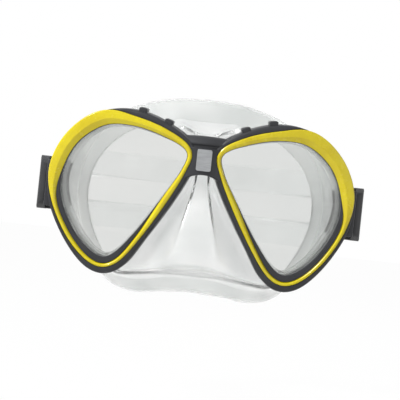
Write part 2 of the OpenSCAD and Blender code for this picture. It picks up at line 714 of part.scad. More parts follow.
// Row of ratchet ribs on a face at x = 0 that looks along +x, from y = start to y = end
module rib_row(start, end) {
    count = floor((end - start) / rib_pitch);
    along_z(strap_w / 2 - 1) polygon(concat(
        [[-rib_root, start]],
        [for (k = [0 : count - 1]) let (y = start + k * rib_pitch) each
            [[0, y], [rib_h, y + 0.6 * rib_pitch], [rib_h, y + 0.8 * rib_pitch],
                [0, y + 0.9 * rib_pitch]]],
        [[0, start + count * rib_pitch], [-rib_root, start + count * rib_pitch]]));
}
ribbed = 36;    // length of the ribs on the loop behind the buckle
module strap() {
    color(silicone) {
        difference() {
            intersection() {
                difference() {
                    along_z(strap_back_w) loop_shape(strap_t / 2);
                    along_z(strap_back_w + over) loop_shape(-strap_t / 2);
                    translate([-half_loop + strap_t / 2, run_start - over, -strap_back_w])
                        cube([2 * half_loop - strap_t, 2 * over, 2 * strap_back_w]);
                }
                along_x(-half_loop - strap_w, half_loop + strap_w) band_side();
            }
            along_x(-half_loop - strap_w, half_loop + strap_w) split_side();
        }
        both_sides() translate([half_loop - strap_t / 2, 0, 0]) mirror([1, 0, 0])
            rib_row(body_end + 2, body_end + ribbed);
    }
}
module strap_bend() {
    color(silicone) on_left_buckle() {
        translate([0, roller_y, -strap_w / 2]) rotate([0, 0, 180]) rotate_extrude(angle = 180)
            translate([strand_x - strap_t / 2, 0]) square([strap_t, strap_w]);
        for (x = [-strand_x, strand_x])
            translate([x - strap_t / 2, roller_y - 0.01, -strap_w / 2])
                cube([strap_t, bend_end - roller_y + 0.01, strap_w]);
    }
}
module strap_tail() {
    tip = run_start + tail_l;
    color(silicone) on_left_buckle() {
        translate([strand_x - strap_t / 2, 0, 0]) along_x(0, strap_t) polygon(rounded([
            [run_start, -strap_w / 2, 0], [tip, -strap_w / 2, tail_round],
            [tip, strap_w / 2, tail_round], [run_start, strap_w / 2, 0]]));
        translate([strand_x + strap_t / 2, 0, 0]) rib_row(run_start + over, tip - tail_round);
    }
}

frame();
bezel();  // bezel_left
mirror([1, 0, 0]) bezel();  // bezel_right
lens();  // lens_left
mirror([1, 0, 0]) lens();  // lens_right
skirt();
bridge_badge();
pivot_pin();  // pivot_pin_left
mirror([1, 0, 0]) pivot_pin();  // pivot_pin_right
buckle_body();  // buckle_body_left
mirror([1, 0, 0]) buckle_body();  // buckle_body_right
strap_roller();  // strap_roller_left
mirror([1, 0, 0]) strap_roller();  // strap_roller_right
roller_axle();  // roller_axle_left
mirror([1, 0, 0]) roller_axle();  // roller_axle_right
release_lever();  // release_lever_left
mirror([1, 0, 0]) release_lever();  // release_lever_right
lever_pin();  // lever_pin_left
mirror([1, 0, 0]) lever_pin();  // lever_pin_right
strap();
strap_bend();  // strap_bend_left
mirror([1, 0, 0]) strap_bend();  // strap_bend_right
strap_tail();  // strap_tail_left
mirror([1, 0, 0]) strap_tail();  // strap_tail_right
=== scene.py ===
"""Twin-lens snorkel mask with a clear silicone skirt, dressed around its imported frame.

Lengths of the mask are in millimetres, as on a drawing; meshes and the studio are in metres.
+Z is up, the lenses face -Y and +X is the wearer's left.
"""
import logging
import math
from dataclasses import dataclass, field
from enum import Enum
from typing import Iterable, Sequence

import bmesh
import bpy
from mathutils import Matrix, Vector


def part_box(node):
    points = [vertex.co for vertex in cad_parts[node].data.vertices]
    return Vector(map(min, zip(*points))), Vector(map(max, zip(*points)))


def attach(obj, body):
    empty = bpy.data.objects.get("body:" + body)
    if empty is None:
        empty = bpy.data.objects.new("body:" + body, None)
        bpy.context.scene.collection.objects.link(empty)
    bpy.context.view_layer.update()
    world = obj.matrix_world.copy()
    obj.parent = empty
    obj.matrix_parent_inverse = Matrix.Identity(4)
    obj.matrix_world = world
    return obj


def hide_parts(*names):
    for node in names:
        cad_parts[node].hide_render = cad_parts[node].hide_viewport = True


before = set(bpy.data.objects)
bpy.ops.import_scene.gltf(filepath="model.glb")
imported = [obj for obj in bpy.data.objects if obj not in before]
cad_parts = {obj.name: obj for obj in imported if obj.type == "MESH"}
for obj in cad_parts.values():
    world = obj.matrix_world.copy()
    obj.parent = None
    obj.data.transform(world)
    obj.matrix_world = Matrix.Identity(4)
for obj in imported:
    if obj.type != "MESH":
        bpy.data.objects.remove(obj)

log = logging.getLogger("mask")
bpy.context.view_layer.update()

MM = 0.001
WELD = 1e-6          # metres within which two vertices are one
ROUNDING_LEVELS = 2  # how often a wall is divided to round its edges
WHITE = "#ffffff"
Row = Sequence[float]
Tree = bpy.types.NodeTree
Socket = bpy.types.NodeSocket
BMesh = bmesh.types.BMesh
Object = bpy.types.Object


class Side(Enum):
    """Which half of the mask a piece belongs to, as its wearer names it."""

    LEFT = 1
    RIGHT = -1

    @property
    def label(self) -> str:
        """Ending of the names of the pieces on this side."""
        return self.name.lower()


def clamped(value: float) -> float:
    """Holds a value between 0 and 1."""
    return min(1.0, max(0.0, value))


def eased(share: float) -> float:
    """Turns an even rise from 0 to 1 into one that starts and ends softly."""
    return share * share * (3 - 2 * share)


# ---- shader nodes -------------------------------------------------------------------


def linear(colour: str) -> tuple[float, float, float, float]:
    """Turns an sRGB colour into the linear values that a shader takes.

    Args:
        colour: The colour as "#RRGGBB".

    Returns:
        Linear red, green, blue and an alpha of 1.
    """
    parts = [int(colour[i:i + 2], 16) / 255 for i in (1, 3, 5)]
    r, g, b = (c / 12.92 if c <= 0.04045 else ((c + 0.055) / 1.055) ** 2.4 for c in parts)
    return r, g, b, 1.0


def empty_tree(owner: bpy.types.Material | bpy.types.World) -> Tree:
    """Switches on the nodes of a material or world and empties its tree.

    Args:
        owner: The material or world.

    Returns:
        The empty tree.
    """
    owner.use_nodes = True
    owner.node_tree.nodes.clear()
    return owner.node_tree


def add_node(tree: Tree, kind: str, inputs: dict | None = None, **settings) -> bpy.types.Node:
    """Adds one node with its settings, values and links.

    Args:
        tree: The tree that gets the node.
        kind: Blender's name of the node's type.
        inputs: For each input socket, by name or number, the value or the socket to link.
        **settings: Properties of the node itself.

    Returns:
        The new node.
    """
    node = tree.nodes.new(kind)
    for key, value in settings.items():
        setattr(node, key, value)
    for key, value in (inputs or {}).items():
        if isinstance(value, Socket):
            tree.links.new(value, node.inputs[key])
        else:
            node.inputs[key].default_value = value
    return node


def principled(tree: Tree, inputs: dict) -> Socket:
    """Adds the general surface shader and returns its output."""
    return add_node(tree, "ShaderNodeBsdfPrincipled", inputs).outputs["BSDF"]


def spots(tree: Tree, place: Socket, size_mm: float, low: float, high: float,
          detail: float = 3.0) -> Socket:
    """Makes a soft random value that varies over the surface.

    Args:
        tree: The material's node tree.
        place: Position in the object, in metres.
        size_mm: Size of one patch.
        low: Value in the lowest patches.
        high: Value in the highest patches.
        detail: How many finer layers lie over the patches.

    Returns:
        A socket with values from low to high.
    """
    noise = add_node(tree, "ShaderNodeTexNoise", {
        "Vector": place, "Scale": 1 / (size_mm * MM), "Detail": detail, "Roughness": 0.55})
    spread = add_node(tree, "ShaderNodeMapRange", {
        "Value": noise.outputs["Fac"], "From Min": 0.3, "From Max": 0.7,
        "To Min": low, "To Max": high})
    return spread.outputs["Result"]


def relief(tree: Tree, height: Socket, strength: float, depth_mm: float) -> Socket:
    """Makes a shallow relief out of a value that varies over the surface.

    Args:
        tree: The material's node tree.
        height: The value, 1 where the relief is highest.
        strength: How much of the relief shows, from 0 to 1.
        depth_mm: Height of the relief.

    Returns:
        The socket of the surface's new direction.
    """
    bump = add_node(tree, "ShaderNodeBump", {
        "Height": height, "Strength": strength, "Distance": depth_mm * MM})
    return bump.outputs["Normal"]


def blend_colours(tree: Tree, share: Socket, first: str, second: str) -> Socket:
    """Mixes two colours.

    Args:
        tree: The material's node tree.
        share: Share of the second colour, from 0 to 1.
        first: Colour where the share is 0.
        second: Colour where the share is 1.

    Returns:
        The socket of the mixed colour.
    """
    mix = add_node(tree, "ShaderNodeMix", data_type="RGBA")
    tree.links.new(share, mix.inputs["Factor"])
    mix.inputs[6].default_value = linear(first)
    mix.inputs[7].default_value = linear(second)
    return mix.outputs[2]


# ---- finishes -----------------------------------------------------------------------


@dataclass(frozen=True)
class Finish:
    """What a surface is made of. Each kind of finish writes its own nodes."""

    name: str
    slot: str
    colour: str
    second_colour: str = WHITE                   # what the colour drifts towards
    tone_mm: float = 9.0                         # size of the patches of colour
    most_second: float = 1.0                     # share of the second colour at most
    gloss_mm: float = 6.0                        # size of the patches of gloss
    roughness: float = 0.4
    drift: tuple[float, float] = (0.05, 0.06)    # how far the roughness falls and rises

    def material(self) -> bpy.types.Material:
        """Makes the material, or finds it where it was made before.

        Returns:
            The material.
        """
        found = bpy.data.materials.get(self.name)
        if found is not None:
            return found
        made = bpy.data.materials.new(self.name)
        tree = empty_tree(made)
        place = add_node(tree, "ShaderNodeTexCoord").outputs["Object"]
        shader = self.shade(tree, place)
        add_node(tree, "ShaderNodeOutputMaterial", {"Surface": shader})
        made.diffuse_color = linear(self.colour)
        return made

    def shade(self, tree: Tree, place: Socket) -> Socket:
        """Writes the nodes of this finish.

        Args:
            tree: The material's node tree.
            place: Position in the object, in metres.

        Returns:
            The shader's output socket.
        """
        raise NotImplementedError

    def tone(self, tree: Tree, place: Socket, detail: float = 3.0) -> Socket:
        """Writes the colour, which drifts slowly towards the second one.

        Args:
            tree: The material's node tree.
            place: Position in the object, in metres.
            detail: How many finer layers lie over the patches.

        Returns:
            The socket of the colour.
        """
        share = spots(tree, place, self.tone_mm, 0, self.most_second, detail)
        return blend_colours(tree, share, self.colour, self.second_colour)

    def gloss(self, tree: Tree, place: Socket, detail: float = 3.0) -> Socket:
        """Writes the roughness, which drifts slowly over the surface.

        Args:
            tree: The material's node tree.
            place: Position in the object, in metres.
            detail: How many finer layers lie over the patches.

        Returns:
            The socket of the roughness.
        """
        less, more = self.drift
        return spots(
            tree, place, self.gloss_mm, self.roughness - less, self.roughness + more, detail)

    def dress(self, piece: Object) -> None:
        """Puts this finish on every face of a piece."""
        piece.data.materials.clear()
        piece.data.materials.append(self.material())


@dataclass(frozen=True)
class MouldedPlastic(Finish):
    """Injection-moulded plastic from a spark-eroded tool: dull, with a fine even grain."""

    second_colour: str = "#222326"
    roughness: float = 0.44
    drift: tuple[float, float] = (0.06, 0.07)
    grain_mm: float = 0.5        # real grain is 0.1 mm; drawn coarser so that it shows
    grain_depth_mm: float = 0.035
    coat: float = 0.0

    def shade(self, tree: Tree, place: Socket) -> Socket:
        """Writes grain in the relief, with slow drift in colour and gloss.

        Args:
            tree: The material's node tree.
            place: Position in the object, in metres.

        Returns:
            The shader's output socket.
        """
        grain = spots(tree, place, self.grain_mm, 0, 1, 1)
        return principled(tree, {
            "Base Color": self.tone(tree, place), "Roughness": self.gloss(tree, place),
            "IOR": 1.45, "Coat Weight": self.coat, "Coat Roughness": 0.2,
            "Normal": relief(tree, grain, 0.6, self.grain_depth_mm)})


@dataclass(frozen=True)
class GlossPlastic(Finish):
    """Polished opaque plastic, pigmented through: bright, with a faint ripple in its gloss."""

    second_colour: str = "#cab408"
    tone_mm: float = 14.0
    most_second: float = 0.8
    gloss_mm: float = 4.0
    roughness: float = 0.24
    ripple_mm: float = 2.2
    ripple_depth_mm: float = 0.02

    def shade(self, tree: Tree, place: Socket) -> Socket:
        """Writes a ripple in the relief, with a little deeper colour in patches.

        Args:
            tree: The material's node tree.
            place: Position in the object, in metres.

        Returns:
            The shader's output socket.
        """
        ripple = spots(tree, place, self.ripple_mm, 0, 1, 1)
        return principled(tree, {
            "Base Color": self.tone(tree, place), "Roughness": self.gloss(tree, place),
            "IOR": 1.45, "Coat Weight": 0.15, "Coat Roughness": 0.06,
            "Normal": relief(tree, ripple, 0.25, self.ripple_depth_mm)})


@dataclass(frozen=True)
class ClearSilicone(Finish):
    """Liquid silicone rubber, clear with a slight haze: light passes, edges go grey."""

    second_colour: str = "#e9ebea"
    tone_mm: float = 18.0
    gloss_mm: float = 9.0
    roughness: float = 0.12
    drift: tuple[float, float] = (0.04, 0.06)
    haze: float = 0.1
    flow_mm: float = 11.0
    flow_depth_mm: float = 0.1

    def shade(self, tree: Tree, place: Socket) -> Socket:
        """Writes haze that drifts, with soft flow marks in the relief.

        Args:
            tree: The material's node tree.
            place: Position in the object, in metres.

        Returns:
            The shader's output socket.
        """
        flow = spots(tree, place, self.flow_mm, 0, 1, 0)
        return principled(tree, {
            "Base Color": self.tone(tree, place, 0), "Roughness": self.gloss(tree, place, 0),
            "IOR": 1.41, "Transmission Weight": 1 - self.haze,
            "Normal": relief(tree, flow, 0.25, self.flow_depth_mm)})


@dataclass(frozen=True)
class TemperedGlass(Finish):
    """Float glass, tempered: pale grey and a little soft, under a bright smooth surface."""

    second_colour: str = "#dadcda"
    tone_mm: float = 40.0
    gloss_mm: float = 12.0
    roughness: float = 0.06
    drift: tuple[float, float] = (0.0, 0.03)

    def shade(self, tree: Tree, place: Socket) -> Socket:
        """Writes clear glass whose tint and softness drift a little.

        Args:
            tree: The material's node tree.
            place: Position in the object, in metres.

        Returns:
            The shader's output socket.
        """
        return principled(tree, {
            "Base Color": self.tone(tree, place, 0), "Roughness": self.gloss(tree, place),
            "IOR": 1.45, "Transmission Weight": 1.0,
            "Coat Weight": 1.0, "Coat Roughness": 0.02})


@dataclass(frozen=True)
class TurnedSteel(Finish):
    """Stainless steel bar, turned and polished: bright, with fine scratches."""

    second_colour: str = "#a9acb0"
    tone_mm: float = 3.0
    gloss_mm: float = 0.25
    roughness: float = 0.25
    drift: tuple[float, float] = (0.09, 0.09)

    def shade(self, tree: Tree, place: Socket) -> Socket:
        """Writes metal with fine scratches.

        Args:
            tree: The material's node tree.
            place: Position in the object, in metres.

        Returns:
            The shader's output socket.
        """
        return principled(tree, {
            "Base Color": self.tone(tree, place), "Metallic": 1.0,
            "Roughness": self.gloss(tree, place, 1)})


@dataclass(frozen=True)
class SatinMetal(Finish):
    """Satin silver paint over a moulded plate: grey, brushed across its width."""

    second_colour: str = "#95979a"
    roughness: float = 0.36
    line_mm: float = 0.3
    line_depth_mm: float = 0.03
    stretch: Row = (0.06, 1.0, 1.0)              # draws the patches out into lines

    def shade(self, tree: Tree, place: Socket) -> Socket:
        """Writes brushed lines that run across the plate.

        Args:
            tree: The material's node tree.
            place: Position in the object, in metres.

        Returns:
            The shader's output socket.
        """
        drawn = add_node(tree, "ShaderNodeMapping", {"Vector": place, "Scale": self.stretch})
        lines = spots(tree, drawn.outputs["Vector"], self.line_mm, 0, 1, 2)
        return principled(tree, {
            "Base Color": blend_colours(tree, lines, self.colour, self.second_colour),
            "Metallic": 0.55, "Roughness": self.roughness,
            "Normal": relief(tree, lines, 0.4, self.line_depth_mm)})


GRAPHITE = MouldedPlastic("graphite polycarbonate", "frame_plastic", "#2d2e32")
BUCKLE_BLACK = MouldedPlastic(
    "black acetal", "buckle_plastic", "#343538", "#28292b", roughness=0.4)
LEVER_GREY = MouldedPlastic(
    "grey acetal", "lever_plastic", "#5a5b5f", "#4c4d51", roughness=0.36, coat=0.2)
ROLLER_NYLON = MouldedPlastic(
    "black nylon", "roller_nylon", "#232426", "#1c1d1f", roughness=0.34)
YELLOW = GlossPlastic("yellow polished ABS", "trim_plastic", "#dccb14")
SILICONE = ClearSilicone("clear silicone", "skirt_silicone", "#f5f6f5")
FROSTED = ClearSilicone(         # the flange, which the mould leaves matt
    "frosted silicone", "skirt_silicone", "#fafbfa", "#f4f6f5", haze=0.05, roughness=0.4)
STRAP_SILICONE = ClearSilicone(
    "clear strap silicone", "strap_silicone", "#fdfefe", "#f9fafa", haze=0.02)
GLASS = TemperedGlass("tempered glass", "lens_glass", "#dfe0de")
STEEL = TurnedSteel("turned stainless steel", "pin_steel", "#c4c6c9")
SILVER = SatinMetal("satin silver paint", "badge_plastic", "#adafb1")


# ---- curves and outlines ------------------------------------------------------------


def spline(a: Row, b: Row, c: Row, d: Row, t: float) -> tuple[float, ...]:
    """Runs a smooth curve through four rows of numbers.

    Args:
        a: Row before the stretch.
        b: Row where the stretch starts.
        c: Row where it ends.
        d: Row after it.
        t: Place in the stretch, from 0 to 1.

    Returns:
        The row at that place.
    """
    return tuple(
        0.5 * (2 * q + (r - p) * t + (2 * p - 5 * q + 4 * r - s) * t * t
               + (3 * q - p - 3 * r + s) * t ** 3)
        for p, q, r, s in zip(a, b, c, d))


def on_loop(rows: Sequence[Row], s: float) -> tuple[float, ...]:
    """Follows the closed curve through rows of numbers.

    Args:
        rows: The rows.
        s: Place on the curve, counted in rows.

    Returns:
        The row at that place.
    """
    n, i = len(rows), math.floor(s)
    return spline(rows[(i - 1) % n], rows[i % n], rows[(i + 1) % n], rows[(i + 2) % n], s - i)


def on_curve(rows: Sequence[Row], s: float) -> tuple[float, ...]:
    """Follows the open curve through rows of numbers.

    Args:
        rows: The rows.
        s: Place on the curve, counted in rows.

    Returns:
        The row at that place.
    """
    last = len(rows) - 1
    i = min(math.floor(s), last - 1)
    return spline(rows[max(i - 1, 0)], rows[i], rows[i + 1], rows[min(i + 2, last)], s - i)


def rounded(corners: Sequence[Row], steps: int = 3) -> list[tuple[float, float]]:
    """Rounds the corners of a flat outline.

    Args:
        corners: For each corner its two coordinates and its radius.
        steps: Chords in each rounded corner.

    Returns:
        The outline's points; a corner with no radius stays one point.
    """
    outline: list[tuple[float, float]] = []
    for i, (x, y, radius) in enumerate(corners):
        p = Vector((x, y))
        if radius == 0:
            outline.append((x, y))
            continue
        before, after = corners[i - 1], corners[(i + 1) % len(corners)]
        u = (Vector(before[:2]) - p).normalized()
        v = (Vector(after[:2]) - p).normalized()
        half = math.acos(max(-1.0, min(1.0, u.dot(v)))) / 2
        turn = math.copysign(1, u.y * v.x - u.x * v.y)
        middle = p + (u + v).normalized() * radius / math.sin(half)
        start = p + u * radius / math.tan(half) - middle
        for k in range(steps + 1):
            angle = turn * k * (math.pi - 2 * half) / steps
            spoke = Matrix.Rotation(angle, 2) @ start
            outline.append(tuple(middle + spoke))
    return outline


def divided(outline: Sequence[Row], longest: float) -> list[tuple[float, float]]:
    """Adds points along the sides of an outline.

    Args:
        outline: Its corners.
        longest: Length that no side passes afterwards.

    Returns:
        The corners with the added points.
    """
    points: list[tuple[float, float]] = []
    for i, (x, y) in enumerate(outline):
        u, v = outline[(i + 1) % len(outline)]
        count = max(1, math.ceil(math.hypot(u - x, v - y) / longest))
        points += [(x + (u - x) * k / count, y + (v - y) * k / count) for k in range(count)]
    return points


@dataclass(frozen=True)
class LensPlane:
    """The plane of the wearer's left lens and the edge of its visible opening."""

    forward: float = 23.0
    rise: float = 6.0
    wrap: float = 7.0            # degrees that its outer side turns back
    rake: float = 6.0            # degrees that its top leans
    look: float = 0.1            # rows on each side that give the edge's direction
    # across, up, outer edge of the frame, inner and outer edge of the trim, edge of the seat
    rows: tuple[Row, ...] = (
        (9.5, 17.0, 4.9, 0.3, 2.9, 0.3), (21.5, 23.0, 7.0, 0.3, 4.2, -1.0),
        (37.0, 26.6, 8.3, 0.3, 5.2, -1.2), (52.0, 25.4, 7.6, 0.3, 8.0, -1.6),
        (65.0, 15.5, 7.3, 0.3, 7.8, -2.2), (71.8, 1.0, 6.7, 0.3, 7.2, -2.8),
        (71.2, -14.0, 6.9, 2.6, 5.3, -3.0), (62.5, -30.5, 7.2, 2.8, 5.0, -2.6),
        (51.0, -40.6, 8.8, 3.4, 5.4, -1.8), (42.5, -39.8, 8.6, 3.2, 5.2, -1.0),
        (31.5, -27.0, 6.4, 1.8, 4.2, -1.0), (19.0, -7.2, 5.9, 0.3, 3.4, -1.0),
        (10.6, 8.0, 4.9, 0.3, 2.4, -0.4))

    def row(self, s: float) -> tuple[float, ...]:
        """Returns all the widths at place s of the opening."""
        return on_loop(self.rows, s)

    def flat(self, s: float, u: float) -> Vector:
        """Finds a point beside the edge of the opening.

        Args:
            s: Place along the edge, counted in rows.
            u: How far outside the edge the point lies.

        Returns:
            The point, across and up in the plane.
        """
        p, a, b = self.row(s), self.row(s - self.look), self.row(s + self.look)
        run = Vector((b[0] - a[0], b[1] - a[1])).normalized()
        return Vector((p[0] - u * run.y, p[1] + u * run.x))

    def raked(self, p: Row) -> Vector:
        """Places a point as the rake of the lenses gives it.

        Args:
            p: Its place across, behind the lens datum and up.

        Returns:
            The point in the mask, in metres.
        """
        lean = Matrix.Rotation(math.radians(self.rake), 3, "X") @ Vector(p)
        return (lean + Vector((0, -self.forward, self.rise))) * MM

    def at(self, s: float, u: float, w: float) -> Vector:
        """Places a point given from the edge of the opening.

        Args:
            s: Place along the edge, counted in rows.
            u: How far outside the edge the point lies.
            w: How far in front of the lens it lies.

        Returns:
            The point in the mask, in metres.
        """
        flat = self.flat(s, u)
        turn = Matrix.Rotation(math.radians(self.wrap), 3, "Z")
        return self.raked(turn @ Vector((flat.x, -w, flat.y)))

    def places(self, steps: int) -> list[float]:
        """Returns places all round the opening, a number of steps for each row."""
        return [i / steps for i in range(len(self.rows) * steps)]


PLANE = LensPlane()
RING_STEPS = 10


# ---- meshes -------------------------------------------------------------------------


def sweep(sections: Sequence[Sequence[Vector]], ring: bool, loop: bool) -> BMesh:
    """Pulls a chain of edges through a row of sections.

    Args:
        sections: For each stop the points of the chain, as many at each stop.
        ring: Whether the chain itself is closed.
        loop: Whether the last stop joins the first again.

    Returns:
        The surface, with no wall of its own.
    """
    bm = bmesh.new()
    chain = [bm.verts.new(p) for p in sections[0]]
    ends = chain[1:] + chain[:1] if ring else chain[1:]
    edges = [bm.edges.new(pair) for pair in zip(chain, ends)]
    stops = [*sections[1:], sections[0]] if loop else sections[1:]
    for section in stops:
        made = bmesh.ops.extrude_edge_only(bm, edges=edges)["geom"]
        fresh = {v for v in made if isinstance(v, bmesh.types.BMVert)}
        edges = [e for e in made
                 if isinstance(e, bmesh.types.BMEdge) and fresh.issuperset(e.verts)]
        chain = [next(e.other_vert(v) for e in v.link_edges if e.other_vert(v) in fresh)
                 for v in chain]
        for vert, point in zip(chain, section):
            vert.co = point
    if loop:
        bmesh.ops.remove_doubles(bm, verts=bm.verts, dist=WELD)
    bmesh.ops.recalc_face_normals(bm, faces=bm.faces)
    return bm


def close_ends(bm: BMesh) -> BMesh:
    """Closes the open ends of a swept tube and turns its faces outwards.

    Args:
        bm: The tube, changed in place.

    Returns:
        The same mesh.
    """
    rims = [e for e in bm.edges if e.is_boundary]
    bmesh.ops.holes_fill(bm, edges=rims, sides=0)
    bmesh.ops.recalc_face_normals(bm, faces=bm.faces)
    return bm


def level_ends(bm: BMesh, step_mm: float, most_sides: int = 8) -> BMesh:
    """Cuts the end faces of a tube into level strips, which bend where one face cannot.

    Args:
        bm: The closed tube, changed in place.
        step_mm: Height of a strip, in millimetres.
        most_sides: Faces with more sides than this are cut.

    Returns:
        The same mesh.
    """
    heights = [v.co.z for v in bm.verts]
    for i in range(1, math.ceil((max(heights) - min(heights)) / (step_mm * MM))):
        ends = [face for face in bm.faces if len(face.verts) > most_sides]
        around = [*{e for face in ends for e in face.edges},
                  *{v for face in ends for v in face.verts}]
        level = min(heights) + i * step_mm * MM
        bmesh.ops.bisect_plane(
            bm, geom=ends + around, dist=WELD, plane_co=(0, 0, level), plane_no=(0, 0, 1))
    return bm


def plate(outline: Iterable[Vector], thickness: Vector) -> BMesh:
    """Makes a flat plate.

    Args:
        outline: Corners of one face, in metres.
        thickness: The way from that face to the other.

    Returns:
        The closed plate.
    """
    bm = bmesh.new()
    face = bm.faces.new([bm.verts.new(p) for p in outline])
    made = bmesh.ops.extrude_face_region(bm, geom=[face], use_keep_orig=True)["geom"]
    moved = [v for v in made if isinstance(v, bmesh.types.BMVert)]
    bmesh.ops.translate(bm, vec=thickness, verts=moved)
    bmesh.ops.recalc_face_normals(bm, faces=bm.faces)
    return bm


def bevel_edges(bm: BMesh, width_mm: float, sharper_than: float = 30.0,
                segments: int = 2) -> BMesh:
    """Rounds every edge that is sharper than an angle.

    Args:
        bm: The closed mesh.
        width_mm: Width of the rounding.
        sharper_than: Smallest angle, in degrees, that is rounded.
        segments: Faces across the rounding.

    Returns:
        The same mesh.
    """
    limit = math.radians(sharper_than)
    edges = [e for e in bm.edges if len(e.link_faces) == 2 and e.calc_face_angle(0.0) > limit]
    bmesh.ops.bevel(
        bm, geom=edges, offset=width_mm * MM, offset_type="OFFSET", segments=segments,
        profile=0.5, affect="EDGES", clamp_overlap=True, material=-1)
    return bm


def mirrored(bm: BMesh) -> BMesh:
    """Copies a closed mesh for the other side of the mask.

    Args:
        bm: The mesh, which stays as it is.

    Returns:
        The copy.
    """
    other = bm.copy()
    bmesh.ops.scale(other, vec=(-1, 1, 1), verts=other.verts)
    bmesh.ops.reverse_faces(other, faces=other.faces)
    return other


def on_side(bm: BMesh, side: Side) -> BMesh:
    """Returns the mesh of a left piece as it is on a side."""
    return mirrored(bm) if side is Side.RIGHT else bm


def add_object(name: str, data: bpy.types.ID) -> Object:
    """Puts a new object into the scene.

    Args:
        name: Its name.
        data: Its mesh, lamp or camera.

    Returns:
        The object.
    """
    obj = bpy.data.objects.new(name, data)
    bpy.context.scene.collection.objects.link(obj)
    return obj


def make_object(name: str, bm: BMesh, smooth_below: float = 40.0) -> Object:
    """Turns a mesh in the making into an object at the origin.

    Args:
        name: Name of the piece.
        bm: Its mesh, which is used up.
        smooth_below: Angle, in degrees, under which neighbouring faces shade as one.

    Returns:
        The new object.
    """
    mesh = bpy.data.meshes.new(name)
    bm.to_mesh(mesh)
    bm.free()
    mesh.polygons.foreach_set("use_smooth", [True] * len(mesh.polygons))
    mesh.set_sharp_from_angle(angle=math.radians(smooth_below))
    return add_object(name, mesh)


def thicken(obj: Object, thickness_mm: float) -> bpy.types.SolidifyModifier:
    """Gives a surface a wall with soft edges, half of it on each side.

    Args:
        obj: The surface.
        thickness_mm: Thickness of the wall.

    Returns:
        The modifier of the wall.
    """
    shell = obj.modifiers.new("wall", "SOLIDIFY")
    shell.thickness = thickness_mm * MM
    shell.offset = 0.0
    rounds = obj.modifiers.new("rounds", "SUBSURF")
    rounds.levels = rounds.render_levels = ROUNDING_LEVELS
    return shell


def finished_mesh(obj: Object) -> BMesh:
    """Takes an object out of the scene and keeps its mesh.

    Args:
        obj: The object.

    Returns:
        Its mesh with the modifiers applied.
    """
    graph = bpy.context.evaluated_depsgraph_get()
    bm = bmesh.new()
    bm.from_object(obj, graph)
    bpy.data.objects.remove(obj, do_unlink=True)
    return bm


def free_of_slivers(bm: BMesh) -> BMesh:
    """Merges points that touch, and drops points between two edges, which fold into slivers.

    Args:
        bm: The mesh, changed in place.

    Returns:
        The same mesh.
    """
    bmesh.ops.remove_doubles(bm, verts=bm.verts, dist=WELD)
    bmesh.ops.dissolve_verts(bm, verts=[v for v in bm.verts if len(v.link_edges) == 2])
    return bm


def united(name: str, parts: Sequence[BMesh]) -> BMesh:
    """Joins closed meshes that reach into each other into one closed mesh.

    Args:
        name: Name for the working objects.
        parts: The meshes, which are used up.

    Returns:
        The joined mesh.
    """
    base, *others = [make_object(f"{name}_{i}", bm) for i, bm in enumerate(parts)]
    for other in others:
        join = base.modifiers.new("join", "BOOLEAN")
        join.operation = "UNION"
        join.solver = "MANIFOLD"
        join.object = other
    bm = finished_mesh(base)
    for other in others:
        bpy.data.objects.remove(other, do_unlink=True)
    return free_of_slivers(bm)


def piece(obj: Object, body: str, finish: Finish, *nodes: str) -> Object:
    """Gives a finished object its finish, its body and the solids that it stands for.

    Args:
        obj: The piece.
        body: Body that it moves with.
        finish: What it is made of.
        *nodes: Solids of the frame that it replaces.

    Returns:
        The same object.
    """
    finish.dress(obj)
    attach(obj, body)
    if nodes:
        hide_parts(*nodes)
    log.info("%s: %d faces, moves with %s", obj.name, len(obj.data.polygons), body)
    return obj


def softened_copy(node: str, name: str, bevel_mm: float, merge_flat: bool = True) -> Object:
    """Copies a solid of the frame and rounds its edges as a mould leaves them.

    Args:
        node: The solid to copy.
        name: Name of the new piece.
        bevel_mm: Width of the rounding.
        merge_flat: Whether the triangles of a flat face are merged first. Faces with ribs
            on them stay split.

    Returns:
        The new object.
    """
    bm = bmesh.new()
    bm.from_mesh(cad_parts[node].data)
    bmesh.ops.remove_doubles(bm, verts=bm.verts, dist=WELD)
    if merge_flat:
        bmesh.ops.dissolve_limit(
            bm, angle_limit=math.radians(1), verts=bm.verts, edges=bm.edges)
    made = make_object(name, free_of_slivers(bevel_edges(bm, bevel_mm)))
    made.modifiers.new("flat_faces", "WEIGHTED_NORMAL").keep_sharp = True
    return made


# ---- frame, trim and lenses ---------------------------------------------------------


def roller_x() -> float:
    """Returns how far out the middle of the left strap roller lies."""
    return sum(corner.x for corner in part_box("strap_roller_left")) / 2 / MM


